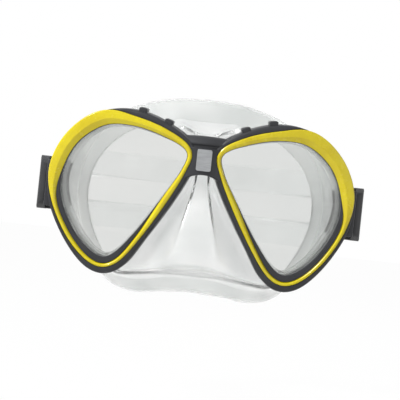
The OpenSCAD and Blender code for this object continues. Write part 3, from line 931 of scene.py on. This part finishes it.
@dataclass
class FrontFrame:
    """Moulded front: two rings that hold the lenses, the bridge, the lugs and the clips."""

    depth: float = 7.6
    lip_back: float = 0.85
    lip_front: float = 2.15
    land: float = 0.8            # how far the frame stands up beside the trim
    land_out: float = 1.2        # width outside the trim that carries the whole land
    land_in: float = 1.4         # width inside the trim that carries the whole land
    land_from: float = 0.4       # width inside the trim that carries none
    trim_play: float = 0.12      # room on each side of the trim
    thinnest: float = 0.04       # least width of the frame outside the trim
    hook_in: float = 2.9
    channel_out: float = 3.55
    channel_back: float = -6.45
    bridge_from: float = -1.4    # where its side starts, in rows before the first
    bridge_points: int = 21      # points along that side
    bridge_pitch: float = 0.1    # rows between them
    bridge_grip: float = 2.2     # how far the bridge reaches into the ring
    bridge_back: float = 5.6
    bridge_arch: float = 4.6     # rise of the bridge's lower edge in the middle
    arch_run: float = 6.0        # height over which that rise fades
    bridge_crown: float = 0.8    # rise of its upper edge in the middle
    crown_run: float = 4.0
    bridge_bow: float = 0.5      # how far its front swells in the middle
    bridge_set: float = 0.5      # how far it lies back
    bridge_sweep: float = 0.8    # how much further back its sides lie
    bridge_steps: int = 6        # stops from the middle to each side
    bridge_strip: float = 0.9
    groove_low: float = 19.4     # the groove under the brow
    groove_high: float = 21.2
    lug_t: float = 3.0
    lug_r: float = 4.6
    lug_root: float = -12.5
    lug_depth: float = 4.0
    lug_half: float = 12.0
    frame_side: float = 77.69
    lug_grip: float = 2.5        # how far the lug's root reaches into the ring
    lug_overlap: float = 0.2     # how far it reaches past the middle of the lug
    clip_rows: tuple[float, float] = (1.05, 1.85)
    clip_size: tuple[float, float, float] = (4.4, 6.0, 2.0)
    clip_round: float = 1.2
    clip_back: float = 0.3       # how far the clips lie behind the frame's front
    edge_bevel: float = 0.5
    pivot_x: float = field(default_factory=roller_x)

    def section(self, s: float) -> list[Vector]:
        """Draws the ring's section: its lands, the trim's groove, the channel and the hook.

        Args:
            s: Place along the opening, counted in rows.

        Returns:
            The section's points.
        """
        _, _, outer, trim_in, trim_out, _ = PLANE.row(s)
        groove_in = trim_in - self.trim_play
        groove_out = min(trim_out + self.trim_play, outer - self.thinnest)
        width = outer - groove_out
        rise_in = self.land * clamped((trim_in - self.land_from) / self.land_in)
        front_in = self.lip_front + rise_in
        front_out = self.lip_front + self.land * clamped(width / self.land_out)
        corners = [
            (0.0, front_in, 0.04 + 0.25 * min(1.0, groove_in)),
            (groove_in, front_in, 0.02 + 0.12 * min(1.0, rise_in)),
            (groove_in, self.lip_front, 0.0), (groove_out, self.lip_front, 0.0),
            (groove_out, front_out + 0.01, min(0.2, 0.3 * width)),
            (outer, front_out, min(1.7, 0.6 * width)),
            (outer, -self.depth, 1.0), (self.hook_in, -self.depth, 0.25),
            (self.hook_in, self.channel_back, 0.0), (self.channel_out, self.channel_back, 0.0),
            (self.channel_out, self.lip_back, 0.0), (0.0, self.lip_back, 0.2)]
        return [PLANE.at(s, u, w) for u, w in rounded(corners)]

    def ring(self) -> BMesh:
        """Returns the ring round the wearer's left lens."""
        return sweep([self.section(s) for s in PLANE.places(RING_STEPS)], ring=True, loop=True)

    def bridge_profile(self, low: float, high: float) -> list[tuple[float, float]]:
        """Draws the bridge's section in its middle.

        Args:
            low: Height of its lower edge.
            high: Height of its upper edge.

        Returns:
            The section's points, as depth and height.
        """
        # depth, height and radius, from the lower edge up the front and over the brow
        front, groove = -3.4, -2.2
        corners = [
            (self.bridge_back, low, 1.2), (-2.6, low + 0.6, 1.4), (front, low + 2.4, 0.6),
            (front, self.groove_low, 0.3), (groove, self.groove_low + 0.3, 0.15),
            (groove, self.groove_high - 0.4, 0.15), (front - 0.1, self.groove_high, 0.7),
            (0.2, high, 1.4), (self.bridge_back, high, 0.8)]
        return divided(rounded(corners, 4), 1.5)

    def bridge(self) -> BMesh:
        """Makes the bridge between the rings, with its brow and the groove under it.

        Returns:
            The closed mesh.
        """
        first = len(PLANE.rows) + self.bridge_from
        places = [first + self.bridge_pitch * i for i in range(self.bridge_points)]
        edge = [PLANE.flat(s, PLANE.row(s)[2] - self.bridge_grip) for s in places]
        low, high = edge[0].y, edge[-1].y

        def half_width(z: float) -> float:
            """Works out how far the bridge reaches across.

            Args:
                z: Height in the lens plane.

            Returns:
                Half its width at that height.
            """
            z = min(max(z, low), high)
            for p, q in zip(edge, edge[1:]):
                if p.y <= z <= q.y:
                    return p.x + (q.x - p.x) * (z - p.y) / (q.y - p.y)
            return edge[-1].x

        profile = self.bridge_profile(low, high)
        stops = []
        for i in range(2 * self.bridge_steps + 1):
            t = i / self.bridge_steps - 1
            middle = 1 - t * t
            section = []
            for depth, z in profile:
                arch = self.bridge_arch * max(0.0, 1 - (z - low) / self.arch_run)
                crown = self.bridge_crown * max(0.0, 1 - (high - z) / self.crown_run)
                bow = self.bridge_bow * middle if depth < 0 else 0.0
                back = depth - bow + self.bridge_set + self.bridge_sweep * t * t
                section.append(PLANE.raked((
                    t * half_width(z), back, z + (arch + crown) * middle)))
            stops.append(section)
        tube = close_ends(sweep(stops, ring=True, loop=False))
        return level_ends(tube, self.bridge_strip)

    def lug(self) -> BMesh:
        """Makes the lug that carries the left buckle.

        Returns:
            The closed mesh.
        """
        root, front, half = self.lug_root, self.lug_root + self.lug_depth, self.lug_half
        arc = [math.radians(d) for d in range(-60, 61, 10)]
        outline = [
            (root, -half), (front, -half),
            *[(self.lug_r * math.cos(a), self.lug_r * math.sin(a)) for a in arc],
            (front, half), (root, half)]
        x = self.pivot_x - self.lug_t / 2
        face = [Vector((x, y, z)) * MM for y, z in outline]
        return bevel_edges(plate(face, Vector((self.lug_t * MM, 0, 0))), self.edge_bevel)

    def lug_root_block(self) -> BMesh:
        """Makes the block between the side of the ring and the lug.

        Returns:
            The closed mesh.
        """
        start = self.frame_side - self.lug_grip
        y, half = self.lug_root, self.lug_half
        corners = [(start, y, -half), (start, y + self.lug_depth, -half),
                   (start, y + self.lug_depth, half), (start, y, half)]
        width = self.pivot_x + self.lug_overlap - start
        face = [Vector(c) * MM for c in corners]
        return bevel_edges(plate(face, Vector((width * MM, 0, 0))), self.edge_bevel)

    def clips(self) -> list[BMesh]:
        """Makes the lugs on the upper edge that the trim clips under.

        Returns:
            A closed mesh for each lug.
        """
        made = []
        w, length, h = self.clip_size
        span = 0.1               # rows over which the edge's length is taken
        radius = self.clip_round / w * 2
        outline = rounded([(-1, -1, 0), (1, -1, 0), (1, h, radius), (-1, h, radius)])
        front = self.lip_front - self.clip_back
        for s in self.clip_rows:
            out = PLANE.row(s)[2]
            run = PLANE.flat(s + span / 2, out) - PLANE.flat(s - span / 2, out)
            step = 0.5 * w / run.length * span
            face = [PLANE.at(s + step * t, out + u, front) for t, u in outline]
            back = PLANE.at(s, out, front - length) - PLANE.at(s, out, front)
            lug = plate(face, back)
            made.append(bevel_edges(lug, self.edge_bevel, sharper_than=50.0, segments=3))
        return made

    def build(self) -> Object:
        """Makes the frame in one piece.

        Returns:
            The piece.
        """
        left = [self.ring(), self.lug(), self.lug_root_block(), *self.clips()]
        whole = united("front_frame", [*left, *[mirrored(bm) for bm in left], self.bridge()])
        return piece(make_object("front_frame", whole), "mask", GRAPHITE, "frame")


@dataclass
class TrimRing:
    """Polished trim that clips onto the front of the frame round one lens."""

    base: float = 2.2
    height: float = 1.4
    ridge: float = 0.4           # where its ridge runs, as a share of its width
    inner_edge: float = 0.15     # height of its inner edge, as a share of its height
    edge_round: float = 0.5
    shy: float = 0.02            # how far it stays inside its drawn edges

    def section(self, s: float) -> list[Vector]:
        """Draws the trim's section, with its ridge and its rounded outer edge.

        Args:
            s: Place along the opening, counted in rows.

        Returns:
            The section's points.
        """
        _, _, _, a, b, _ = PLANE.row(s)
        a, b = a + self.shy, b - self.shy
        top, edge = self.base + self.height, self.edge_round
        corners = [
            (b, self.base, 0.0), (a, self.base, 0.0),
            (a, self.base + self.inner_edge * self.height, 0.15),
            (a + (b - a) * self.ridge, top, 0.8),
            (b - edge, top - edge / 2, 0.3), (b, top - 1.5 * edge, 0.25)]
        return [PLANE.at(s, u, w) for u, w in rounded(corners, 4)]

    def build(self, side: Side) -> Object:
        """Makes the trim of one side.

        Args:
            side: The side.

        Returns:
            The piece.
        """
        left = sweep([self.section(s) for s in PLANE.places(RING_STEPS)], ring=True, loop=True)
        trim = make_object(f"trim_ring_{side.label}", on_side(left, side))
        return piece(trim, "mask", YELLOW, f"bezel_{side.label}")


@dataclass
class Lens:
    """Flat tempered lens with a ground edge."""

    thickness: float = 4.0
    cover: float = 2.0
    ground_edge: float = 0.4

    def build(self, side: Side) -> Object:
        """Makes the lens of one side.

        Args:
            side: The side.

        Returns:
            The piece.
        """
        outline = [PLANE.at(s, self.cover, 0) for s in PLANE.places(RING_STEPS)]
        back = PLANE.at(0, 0, -self.thickness) - PLANE.at(0, 0, 0)
        left = bevel_edges(plate(outline, back), self.ground_edge, segments=1)
        glass = make_object(f"lens_glass_{side.label}", on_side(left, side))
        return piece(glass, "mask", GLASS, f"lens_{side.label}")


# ---- skirt --------------------------------------------------------------------------


@dataclass
class Skirt:
    """Clear one-piece skirt: lens seats, side walls, nose pocket and the seal on the face."""

    wall: float = 1.8
    flange_w: float = 13.0
    flange_t: float = 1.4
    flange_tip_t: float = 0.7
    flange_past: float = 2.0     # how far past the seal's edge a point still counts as flange
    flange_off: float = 2.2      # and how far off the face
    flange_lift: float = 0.6     # how far the flange's middle lies in front of the face
    flange_rows: int = 4
    nose_reach: float = 9.0
    root_u: float = 1.9
    root_w: float = -8.8
    seat_out: float = 3.5
    seat_front: float = 0.8
    seat_back: float = -6.4
    seat_lip: float = 0.75       # thickness of the lip in front of the glass
    lip_edge: float = 0.4        # how far outside the opening that lip ends
    seat_rim: float = 1.2        # thickness of the rim behind the glass
    seat_grip: float = 0.7       # how far the wall reaches into the seat
    glass_edge: float = 2.05
    glass_back: float = -4.05
    pocket_out: float = 1.4
    pocket_back: float = 0.6
    hollow: float = 0.9          # sag of the pocket's side at its deepest
    hollow_run: float = 12.0     # width of side that has the whole sag
    hollow_places: tuple[float, ...] = (0.33, 0.66, 0.9)
    nose_proud: float = 0.5      # how far the pocket's middle stands out past its ridges
    crease_place: float = 0.55   # where the crease between them runs
    crease_depth: float = 0.15
    wall_lead: float = 9.0
    wall_rows: int = 5
    seal_lead: float = 11.0
    seal_flare: float = 3.0
    seal_inset: float = 0.4
    seal_middle: float = -1.0
    seal_steps: int = 4          # directions worked out for each row of the seal
    stations: int = 34
    nose_steps: int = 2
    # row of the opening, half width of the ridge, up, depth; below zero a share of the reach
    nose_rows: tuple[Row, ...] = (
        (13.75, 4.0, 25.5, 9.4), (13.0, 3.4, 18.0, 9.4), (12.1, 3.2, 8.0, 9.2),
        (11.5, 3.2, 0.0, 6.4), (11.0, 5.0, -9.0, 1.6), (10.5, 7.0, -18.0, -0.36),
        (10.0, 9.0, -27.0, -0.78), (9.5, 10.4, -35.5, -1.0), (9.1, 11.0, -41.5, -0.67),
        (8.8, 11.6, -45.5, 2.0), (8.6, 12.2, -47.5, 11.0))
    # across and up, from the forehead to the upper lip
    seal_rows: tuple[Row, ...] = (
        (0.0, 52.5), (14.0, 51.8), (27.0, 49.6), (40.0, 45.0), (53.0, 35.5), (62.5, 23.0),
        (67.5, 8.0), (67.5, -9.0), (62.0, -27.0), (52.0, -44.0), (42.0, -52.5),
        (32.0, -54.6), (20.0, -52.4), (0.0, -50.5))
    face_centre: Row = (0.0, 73.0, 16.0)
    face_axes: Row = (78.0, 70.0, 106.0)
    polar: list[tuple[float, float]] = field(init=False)

    def __post_init__(self) -> None:
        """Works out how far the seal lies from the middle in each direction."""
        self.polar = []
        for k in range((len(self.seal_rows) - 1) * self.seal_steps + 1):
            x, z = on_curve(self.seal_rows, k / self.seal_steps)
            up = z - self.seal_middle
            self.polar.append((math.atan2(x, up), math.hypot(x, up)))

    def direction(self, p: Vector) -> float:
        """Returns the direction of a point from the seal's middle, 0 for straight up."""
        return math.atan2(p.x, p.z - self.seal_middle)

    def on_face(self, turn: float, inset: float) -> Vector:
        """Finds a point of the wearer's face.

        Args:
            turn: Its direction from the seal's middle, 0 for straight up.
            inset: How far inside the seal's edge it lies.

        Returns:
            The point.
        """
        turn_abs = min(max(abs(turn), self.polar[0][0]), self.polar[-1][0])
        reach = self.polar[-1][1]
        for (t0, r0), (t1, r1) in zip(self.polar, self.polar[1:]):
            if t0 <= turn_abs <= t1:
                reach = r0 + (r1 - r0) * (turn_abs - t0) / (t1 - t0)
                break
        x = (reach - inset) * math.sin(turn)
        z = self.seal_middle + (reach - inset) * math.cos(turn)
        _, cy, cz = self.face_centre
        ax, ay, az = self.face_axes
        y = cy - ay * math.sqrt(max(0.0, 1 - (x / ax) ** 2 - ((z - cz) / az) ** 2))
        return Vector((x, y, z))

    def flange_thickness(self, p: Vector) -> float:
        """Tells how thick the flange is at a point.

        Args:
            p: The point.

        Returns:
            The thickness, or 0 where the point is off the flange.
        """
        turn = self.direction(p)
        edge = self.on_face(turn, 0)
        reach = math.hypot(edge.x, edge.z - self.seal_middle)
        inset = reach - math.hypot(p.x, p.z - self.seal_middle)
        off = abs(self.on_face(turn, inset).y - p.y)
        if inset < -self.flange_past or off > self.flange_off:
            return 0.0
        return self.flange_t + (self.flange_tip_t - self.flange_t) * clamped(inset / self.flange_w)

    def seat_joint(self, s: float) -> list[Vector]:
        """Returns the two points at place s that lead from the seat to the wall."""
        return [PLANE.at(s, self.root_u, self.seat_back + self.seat_grip) / MM,
                PLANE.at(s, self.root_u, self.root_w) / MM]

    def nose_line(self, s: float) -> list[Vector]:
        """Draws the line across the nose pocket, from the left seat to the middle.

        Args:
            s: Place down the pocket, counted in its rows.

        Returns:
            The line's points.
        """
        rows = [(a, b, c, d * self.nose_reach if d < 0 else d) for a, b, c, d in self.nose_rows]
        place, half, up, depth = on_curve(rows, s)
        out = PLANE.row(place)[2] + self.pocket_out
        foot = PLANE.at(place, out, self.root_w - self.pocket_back) / MM
        ridge = PLANE.raked((half, depth, up)) / MM
        middle = PLANE.raked((0, depth - self.nose_proud, up)) / MM
        hollow = self.hollow * clamped((foot - ridge).length / self.hollow_run)
        side = [foot.lerp(ridge, t) + Vector((0, hollow * math.sin(math.pi * t), 0))
                for t in self.hollow_places]
        crease = ridge.lerp(middle, self.crease_place) + Vector((0, self.crease_depth, 0))
        return [*self.seat_joint(place), foot, *side, ridge, crease, middle]

    def side_line(self, p: Vector) -> list[Vector]:
        """Draws the line down the side wall and along the face.

        Args:
            p: Point at the lens seat where the line starts.

        Returns:
            The line's points.
        """
        turn = self.direction(p)
        seal = self.on_face(turn, self.seal_inset)
        out = Vector((math.sin(turn), 0, math.cos(turn)))
        b = p + Vector((0, self.wall_lead, 0)) - out
        c = seal - Vector((0, self.seal_lead, 0)) + self.seal_flare * out
        line = []
        for k in range(self.wall_rows + 1):
            t = k / self.wall_rows
            line.append((1 - t) ** 3 * p + 3 * (1 - t) ** 2 * t * b
                        + 3 * (1 - t) * t * t * c + t ** 3 * seal)
        slope = self.on_face(turn, 1).y - self.on_face(turn, 0).y
        reach = self.flange_w / math.sqrt(1 + slope * slope)
        for k in range(1, self.flange_rows + 1):
            inset = self.seal_inset + reach * k / self.flange_rows
            line.append(self.on_face(turn, inset) - Vector((0, self.flange_lift, 0)))
        return line

    def middle_surface(self) -> BMesh:
        """Makes the surface in the middle of the walls, both sides of the mask.

        Returns:
            The open mesh.
        """
        count = (len(self.nose_rows) - 1) * self.nose_steps
        lines = [self.nose_line(i / self.nose_steps) for i in range(count + 1)]
        first, last = self.nose_rows[0][0] - len(PLANE.rows), self.nose_rows[-1][0]
        places = [first + (last - first) * i / self.stations for i in range(self.stations + 1)]
        joints = [self.seat_joint(s) for s in places]
        # the wall starts along the pocket's first line, runs round the seat, ends on its last
        starts = (*lines[0][:1:-1], *[root for _, root in joints], *lines[-1][2:])
        bm = bmesh.new()
        for rows in (lines, joints, [self.side_line(p) for p in starts]):
            patch = sweep([[p * MM for p in row] for row in rows], ring=False, loop=False)
            mesh = bpy.data.meshes.new("patch")
            patch.to_mesh(mesh)
            patch.free()
            bm.from_mesh(mesh)
            bpy.data.meshes.remove(mesh)
        seam = 20 * WELD
        bmesh.ops.remove_doubles(bm, verts=bm.verts, dist=seam)
        bmesh.ops.mirror(bm, geom=[*bm.verts, *bm.edges, *bm.faces],
                         matrix=Matrix.Identity(4), merge_dist=seam, axis="X")
        bmesh.ops.recalc_face_normals(bm, faces=bm.faces)
        return bm

    def seat_section(self, s: float) -> list[Vector]:
        """Draws the section of the seat that grips the edge of the glass.

        Args:
            s: Place along the opening, counted in rows.

        Returns:
            The section's points.
        """
        rim = PLANE.row(s)[5]
        inside = self.seat_front - self.seat_lip
        corners = [
            (self.lip_edge, inside, 0.0), (self.lip_edge, self.seat_front, 0.3),
            (self.seat_out, self.seat_front, 0.2), (self.seat_out, self.seat_back, 0.5),
            (rim, self.seat_back, 0.45), (rim, self.seat_back + self.seat_rim, 0.4),
            (rim + 1, self.glass_back, 0.2), (self.glass_edge, self.glass_back, 0.0),
            (self.glass_edge, inside, 0.0)]
        return [PLANE.at(s, u, w) for u, w in rounded(corners)]

    def build(self) -> Object:
        """Makes the skirt in one piece and leaves its flange matt.

        Returns:
            The piece.
        """
        body = make_object("skirt_wall", self.middle_surface())
        group = body.vertex_groups.new(name="thickness")
        for vert in body.data.vertices:
            here = self.flange_thickness(vert.co / MM) or self.wall
            group.add([vert.index], here / self.wall, "REPLACE")
        shell = thicken(body, self.wall)
        shell.vertex_group = group.name
        shell.use_even_offset = True
        seat = sweep(
            [self.seat_section(s) for s in PLANE.places(RING_STEPS)], ring=True, loop=True)
        whole = united("skirt", [finished_mesh(body), seat, mirrored(seat)])
        skirt = piece(make_object("skirt_silicone", whole), "mask", SILICONE, "skirt")
        skirt.data.materials.append(FROSTED.material())
        for face in skirt.data.polygons:
            face.material_index = int(self.flange_thickness(face.center / MM) > 0)
        return skirt


# ---- strap and buckles --------------------------------------------------------------


@dataclass
class Strap:
    """Head strap with two bands at the back, and the ribs that the buckles lock."""

    thickness: float = 1.4
    width: float = 20.0
    back_width: float = 46.0
    slot: float = 15.0
    back_radius: float = 58.0
    start: float = field(default_factory=lambda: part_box("strap")[0].y / MM)
    rear: float = field(default_factory=lambda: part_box("strap")[1].y / MM)
    side_x: float = field(default_factory=lambda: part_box("strap")[1].x / MM)
    narrow: float = 27.0         # length of each end that keeps the narrow width
    slot_run: float = 14.0       # length over which the slot opens
    slot_from: float = 5.0       # how far behind the turn's start the cut begins
    slot_reach: float = 0.52     # its half height as a share of the slot's
    core: float = 0.12           # least height of the strip on each side of the middle
    edge: float = 1.0            # width of the strip along each edge
    rib_height: float = 0.35
    rib_pitch: float = 3.0
    # where a rib's slope, top and back end, in pitches
    rib_shape: tuple[float, float, float] = (0.6, 0.8, 0.9)
    rib_root: float = 0.2        # how far the ribs reach into the strap
    rib_short: float = 1.0       # how far the ribs stay from the strap's edges
    ribs_from: float = 10.0      # along the strap from its start
    ribs_to: float = 43.0
    side_steps: int = 12
    turn_steps: int = 18
    back_steps: int = 4

    def path(self) -> list[Vector]:
        """Follows the left half of the strap as it is seen from above.

        Returns:
            Points along it, from the buckle to the middle of the back.
        """
        x = self.side_x - self.thickness / 2
        turn_y = self.rear - self.thickness / 2 - self.back_radius
        points: list[Vector] = []
        for i in range(self.side_steps):
            y = self.start + (turn_y - self.start) * i / self.side_steps
            points.append(Vector((x, y, 0)))
        corner = Vector((x - self.back_radius, turn_y, 0))
        for i in range(self.turn_steps + 1):
            a = math.radians(90) * i / self.turn_steps
            points.append(corner + Vector((math.cos(a), math.sin(a), 0)) * self.back_radius)
        for i in range(1, self.back_steps + 1):
            across = corner.x * (1 - i / self.back_steps)
            points.append(Vector((across, corner.y + self.back_radius, 0)))
        return points

    def spread(self, y: float) -> tuple[float, float]:
        """Works out how far the strap and its slot spread.

        Args:
            y: How far behind the origin.

        Returns:
            Half the height of the strap, and of its slot.
        """
        turn_y = self.rear - self.back_radius
        wide_y = turn_y + self.slot_run
        rise = clamped((y - self.start - self.narrow) / (wide_y - self.start - self.narrow))
        half = self.width / 2 + (self.back_width - self.width) / 2 * eased(rise)
        return half, self.slot / 2 * eased(clamped((y - turn_y) / self.slot_run))

    def ribs(self) -> BMesh:
        """Makes the ratchet ribs on the inside of the strap's left end.

        Returns:
            The closed mesh.
        """
        x, pitch = self.side_x - self.thickness, self.rib_pitch
        top = x - self.rib_height
        outline = [(x + self.rib_root, self.ribs_from)]
        count = int((self.ribs_to - self.ribs_from) / pitch)
        for k in range(count):
            y = self.ribs_from + k * pitch
            up, along, down = (y + share * pitch for share in self.rib_shape)
            outline += [(x, y), (top, up), (top, along), (x, down)]
        outline.append((x + self.rib_root, self.ribs_from + count * pitch))
        half = self.width / 2 - self.rib_short
        face = [Vector((px, self.start + y, -half)) * MM for px, y in outline]
        return plate(face, Vector((0, 0, 2 * half * MM)))

    def band(self) -> BMesh:
        """Makes the surface in the middle of the strap, with the slot cut out.

        Returns:
            The open mesh.
        """
        left = self.path()
        right = [Vector((-p.x, p.y, 0)) for p in reversed(left[:-1])]
        rows = []
        for p in left + right:
            half, gap = self.spread(p.y)
            inner = max(gap, self.core * half)
            upper = [0, inner, (half + inner) / 2, half - self.edge, half]
            heights = [-z for z in upper[:0:-1]] + upper
            rows.append([(p + Vector((0, 0, z))) * MM for z in heights])
        bm = sweep(rows, ring=False, loop=False)
        behind = (self.rear - self.back_radius + self.slot_from) * MM
        reach = self.slot * self.slot_reach * MM
        slot = [f for f in bm.faces if f.calc_center_median().y > behind
                and all(abs(v.co.z) < reach for v in f.verts)]
        bmesh.ops.delete(bm, geom=slot, context="FACES")
        return bm

    def build(self) -> Object:
        """Makes the strap in one piece.

        Returns:
            The piece.
        """
        band = make_object("strap_band", self.band())
        thicken(band, self.thickness)
        ribs = self.ribs()
        whole = united("head_strap", [finished_mesh(band), ribs, mirrored(ribs)])
        return piece(make_object("head_strap", whole), "strap", STRAP_SILICONE, "strap")


def dress_buckles(side: Side) -> None:
    """Makes the softened copies of one buckle's pieces, and dresses its pins and roller.

    Args:
        side: The side.
    """
    end = side.label
    # solid, piece, body, finish, width of the rounding, whether flat faces are merged
    for node, name, body, finish, bevel, merge_flat in (
            (f"buckle_body_{end}", f"buckle_{end}_casing", f"buckle_{end}",
             BUCKLE_BLACK, 0.35, True),
            (f"release_lever_{end}", f"buckle_{end}_lever", f"lever_{end}",
             LEVER_GREY, 0.12, True),
            (f"strap_tail_{end}", f"strap_{end}_tail", f"tail_{end}",
             STRAP_SILICONE, 0.12, False),
            (f"strap_bend_{end}", f"strap_{end}_bend", f"buckle_{end}",
             STRAP_SILICONE, 0.2, True)):
        piece(softened_copy(node, name, bevel, merge_flat), body, finish, node)
    for node in ("pivot_pin", "roller_axle", "lever_pin"):
        STEEL.dress(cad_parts[f"{node}_{end}"])
    ROLLER_NYLON.dress(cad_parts[f"strap_roller_{end}"])


# ---- studio -------------------------------------------------------------------------


@dataclass
class Studio:
    """Pale floor, white surroundings, soft lamps and the camera. Its lengths are in metres."""

    floor_z: float = -0.118
    floor_size: float = 3.0      # from its middle to its edges
    floor_colour: str = "#f4f4f2"
    floor_white: float = 0.975   # how far the floor shows white instead of its shading
    soft_light: float = 0.24     # strength of the even light from all round
    distance: float = 0.68
    lens: float = 120.0          # focal length in millimetres
    sensor: float = 36.0         # width of the camera's sensor in millimetres
    roll: float = 6.0
    target: Row = (0.0, -0.02, -0.001)
    # name, place, side of the square, watts
    lamps: tuple[tuple[str, Row, float, float], ...] = (
        ("key_lamp", (-0.85, -0.5, 0.85), 0.25, 19.0),
        ("fill_lamp", (0.8, -0.75, 0.1), 0.7, 1.2),
        ("back_lamp", (0.75, 0.6, 0.55), 0.6, 4.0))

    def shown_white(self, tree: Tree) -> Socket:
        """Tells which rays show the surroundings straight, in gloss or through glass.

        Args:
            tree: The tree that gets the nodes.

        Returns:
            A socket that is 1 for those rays, and otherwise 0.
        """
        path = add_node(tree, "ShaderNodeLightPath")
        gloss = add_node(tree, "ShaderNodeMath", {
            0: path.outputs["Is Camera Ray"], 1: path.outputs["Is Glossy Ray"]},
            operation="MAXIMUM")
        both = add_node(tree, "ShaderNodeMath", {
            0: gloss.outputs[0], 1: path.outputs["Is Transmission Ray"]}, operation="MAXIMUM")
        return both.outputs[0]

    def world(self) -> None:
        """Lights the scene softly from all round and shows white behind the mask."""
        world = bpy.data.worlds.new("surroundings")
        bpy.context.scene.world = world
        tree = empty_tree(world)
        soft, white = [
            add_node(tree, "ShaderNodeBackground", {"Color": linear(WHITE), "Strength": strength})
            for strength in (self.soft_light, 1.0)]
        mix = add_node(tree, "ShaderNodeMixShader", {
            0: self.shown_white(tree), 1: soft.outputs[0], 2: white.outputs[0]})
        add_node(tree, "ShaderNodeOutputWorld", {"Surface": mix.outputs[0]})

    def floor(self) -> None:
        """Lays a pale floor that keeps the mask's shadow."""
        bm = bmesh.new()
        bmesh.ops.create_grid(bm, x_segments=1, y_segments=1, size=self.floor_size)
        bmesh.ops.translate(bm, vec=(0, 0, self.floor_z), verts=bm.verts)
        obj = make_object("studio_floor", bm)
        made = bpy.data.materials.new("pale floor")
        tree = empty_tree(made)
        paint = add_node(tree, "ShaderNodeBsdfDiffuse", {"Color": linear(self.floor_colour)})
        glow = add_node(tree, "ShaderNodeEmission", {"Color": linear(WHITE), "Strength": 1.0})
        share = add_node(tree, "ShaderNodeMath", {
            0: self.shown_white(tree), 1: self.floor_white}, operation="MULTIPLY")
        mix = add_node(tree, "ShaderNodeMixShader", {
            0: share.outputs[0], 1: paint.outputs[0], 2: glow.outputs[0]})
        add_node(tree, "ShaderNodeOutputMaterial", {"Surface": mix.outputs[0]})
        obj.data.materials.append(made)

    def hang_lamp(self, name: str, place: Row, size: float, power: float) -> None:
        """Hangs a square soft lamp that faces the mask.

        Args:
            name: Name of the lamp.
            place: Where it hangs.
            size: Side of the square.
            power: Its power in watts.
        """
        data = bpy.data.lights.new(name, "AREA")
        data.shape = "SQUARE"
        data.size = size
        data.energy = power
        lamp = add_object(name, data)
        lamp.location = place
        aim = Vector(self.target) - Vector(place)
        lamp.rotation_euler = aim.to_track_quat("-Z", "Y").to_euler()

    def camera(self) -> None:
        """Sets the camera square in front of the mask and rolls it, so the mask tilts."""
        data = bpy.data.cameras.new("camera")
        data.lens = self.lens
        data.sensor_width = self.sensor
        data.clip_start = 0.01
        camera = add_object("camera", data)
        x, y, z = self.target
        stand = Matrix.Translation((x, y - self.distance, z))
        level = Matrix.Rotation(math.radians(90), 4, "X")
        camera.matrix_world = stand @ level @ Matrix.Rotation(math.radians(self.roll), 4, "Z")
        bpy.context.scene.camera = camera

    def build(self) -> None:
        """Sets up everything that isn't the mask."""
        bpy.context.scene.view_settings.view_transform = "Standard"
        self.camera()
        self.world()
        self.floor()
        for lamp in self.lamps:
            self.hang_lamp(*lamp)


def main() -> None:
    """Builds the mask and its studio."""
    logging.basicConfig(level=logging.INFO, format="%(message)s")
    Studio().build()
    FrontFrame().build()
    Skirt().build()
    Strap().build()
    for side in Side:
        TrimRing().build(side)
        Lens().build(side)
        dress_buckles(side)
    badge = softened_copy("bridge_badge", "bridge_plate", 0.25)
    piece(badge, "mask", SILVER, "bridge_badge")


if __name__ == "__main__":
    main()
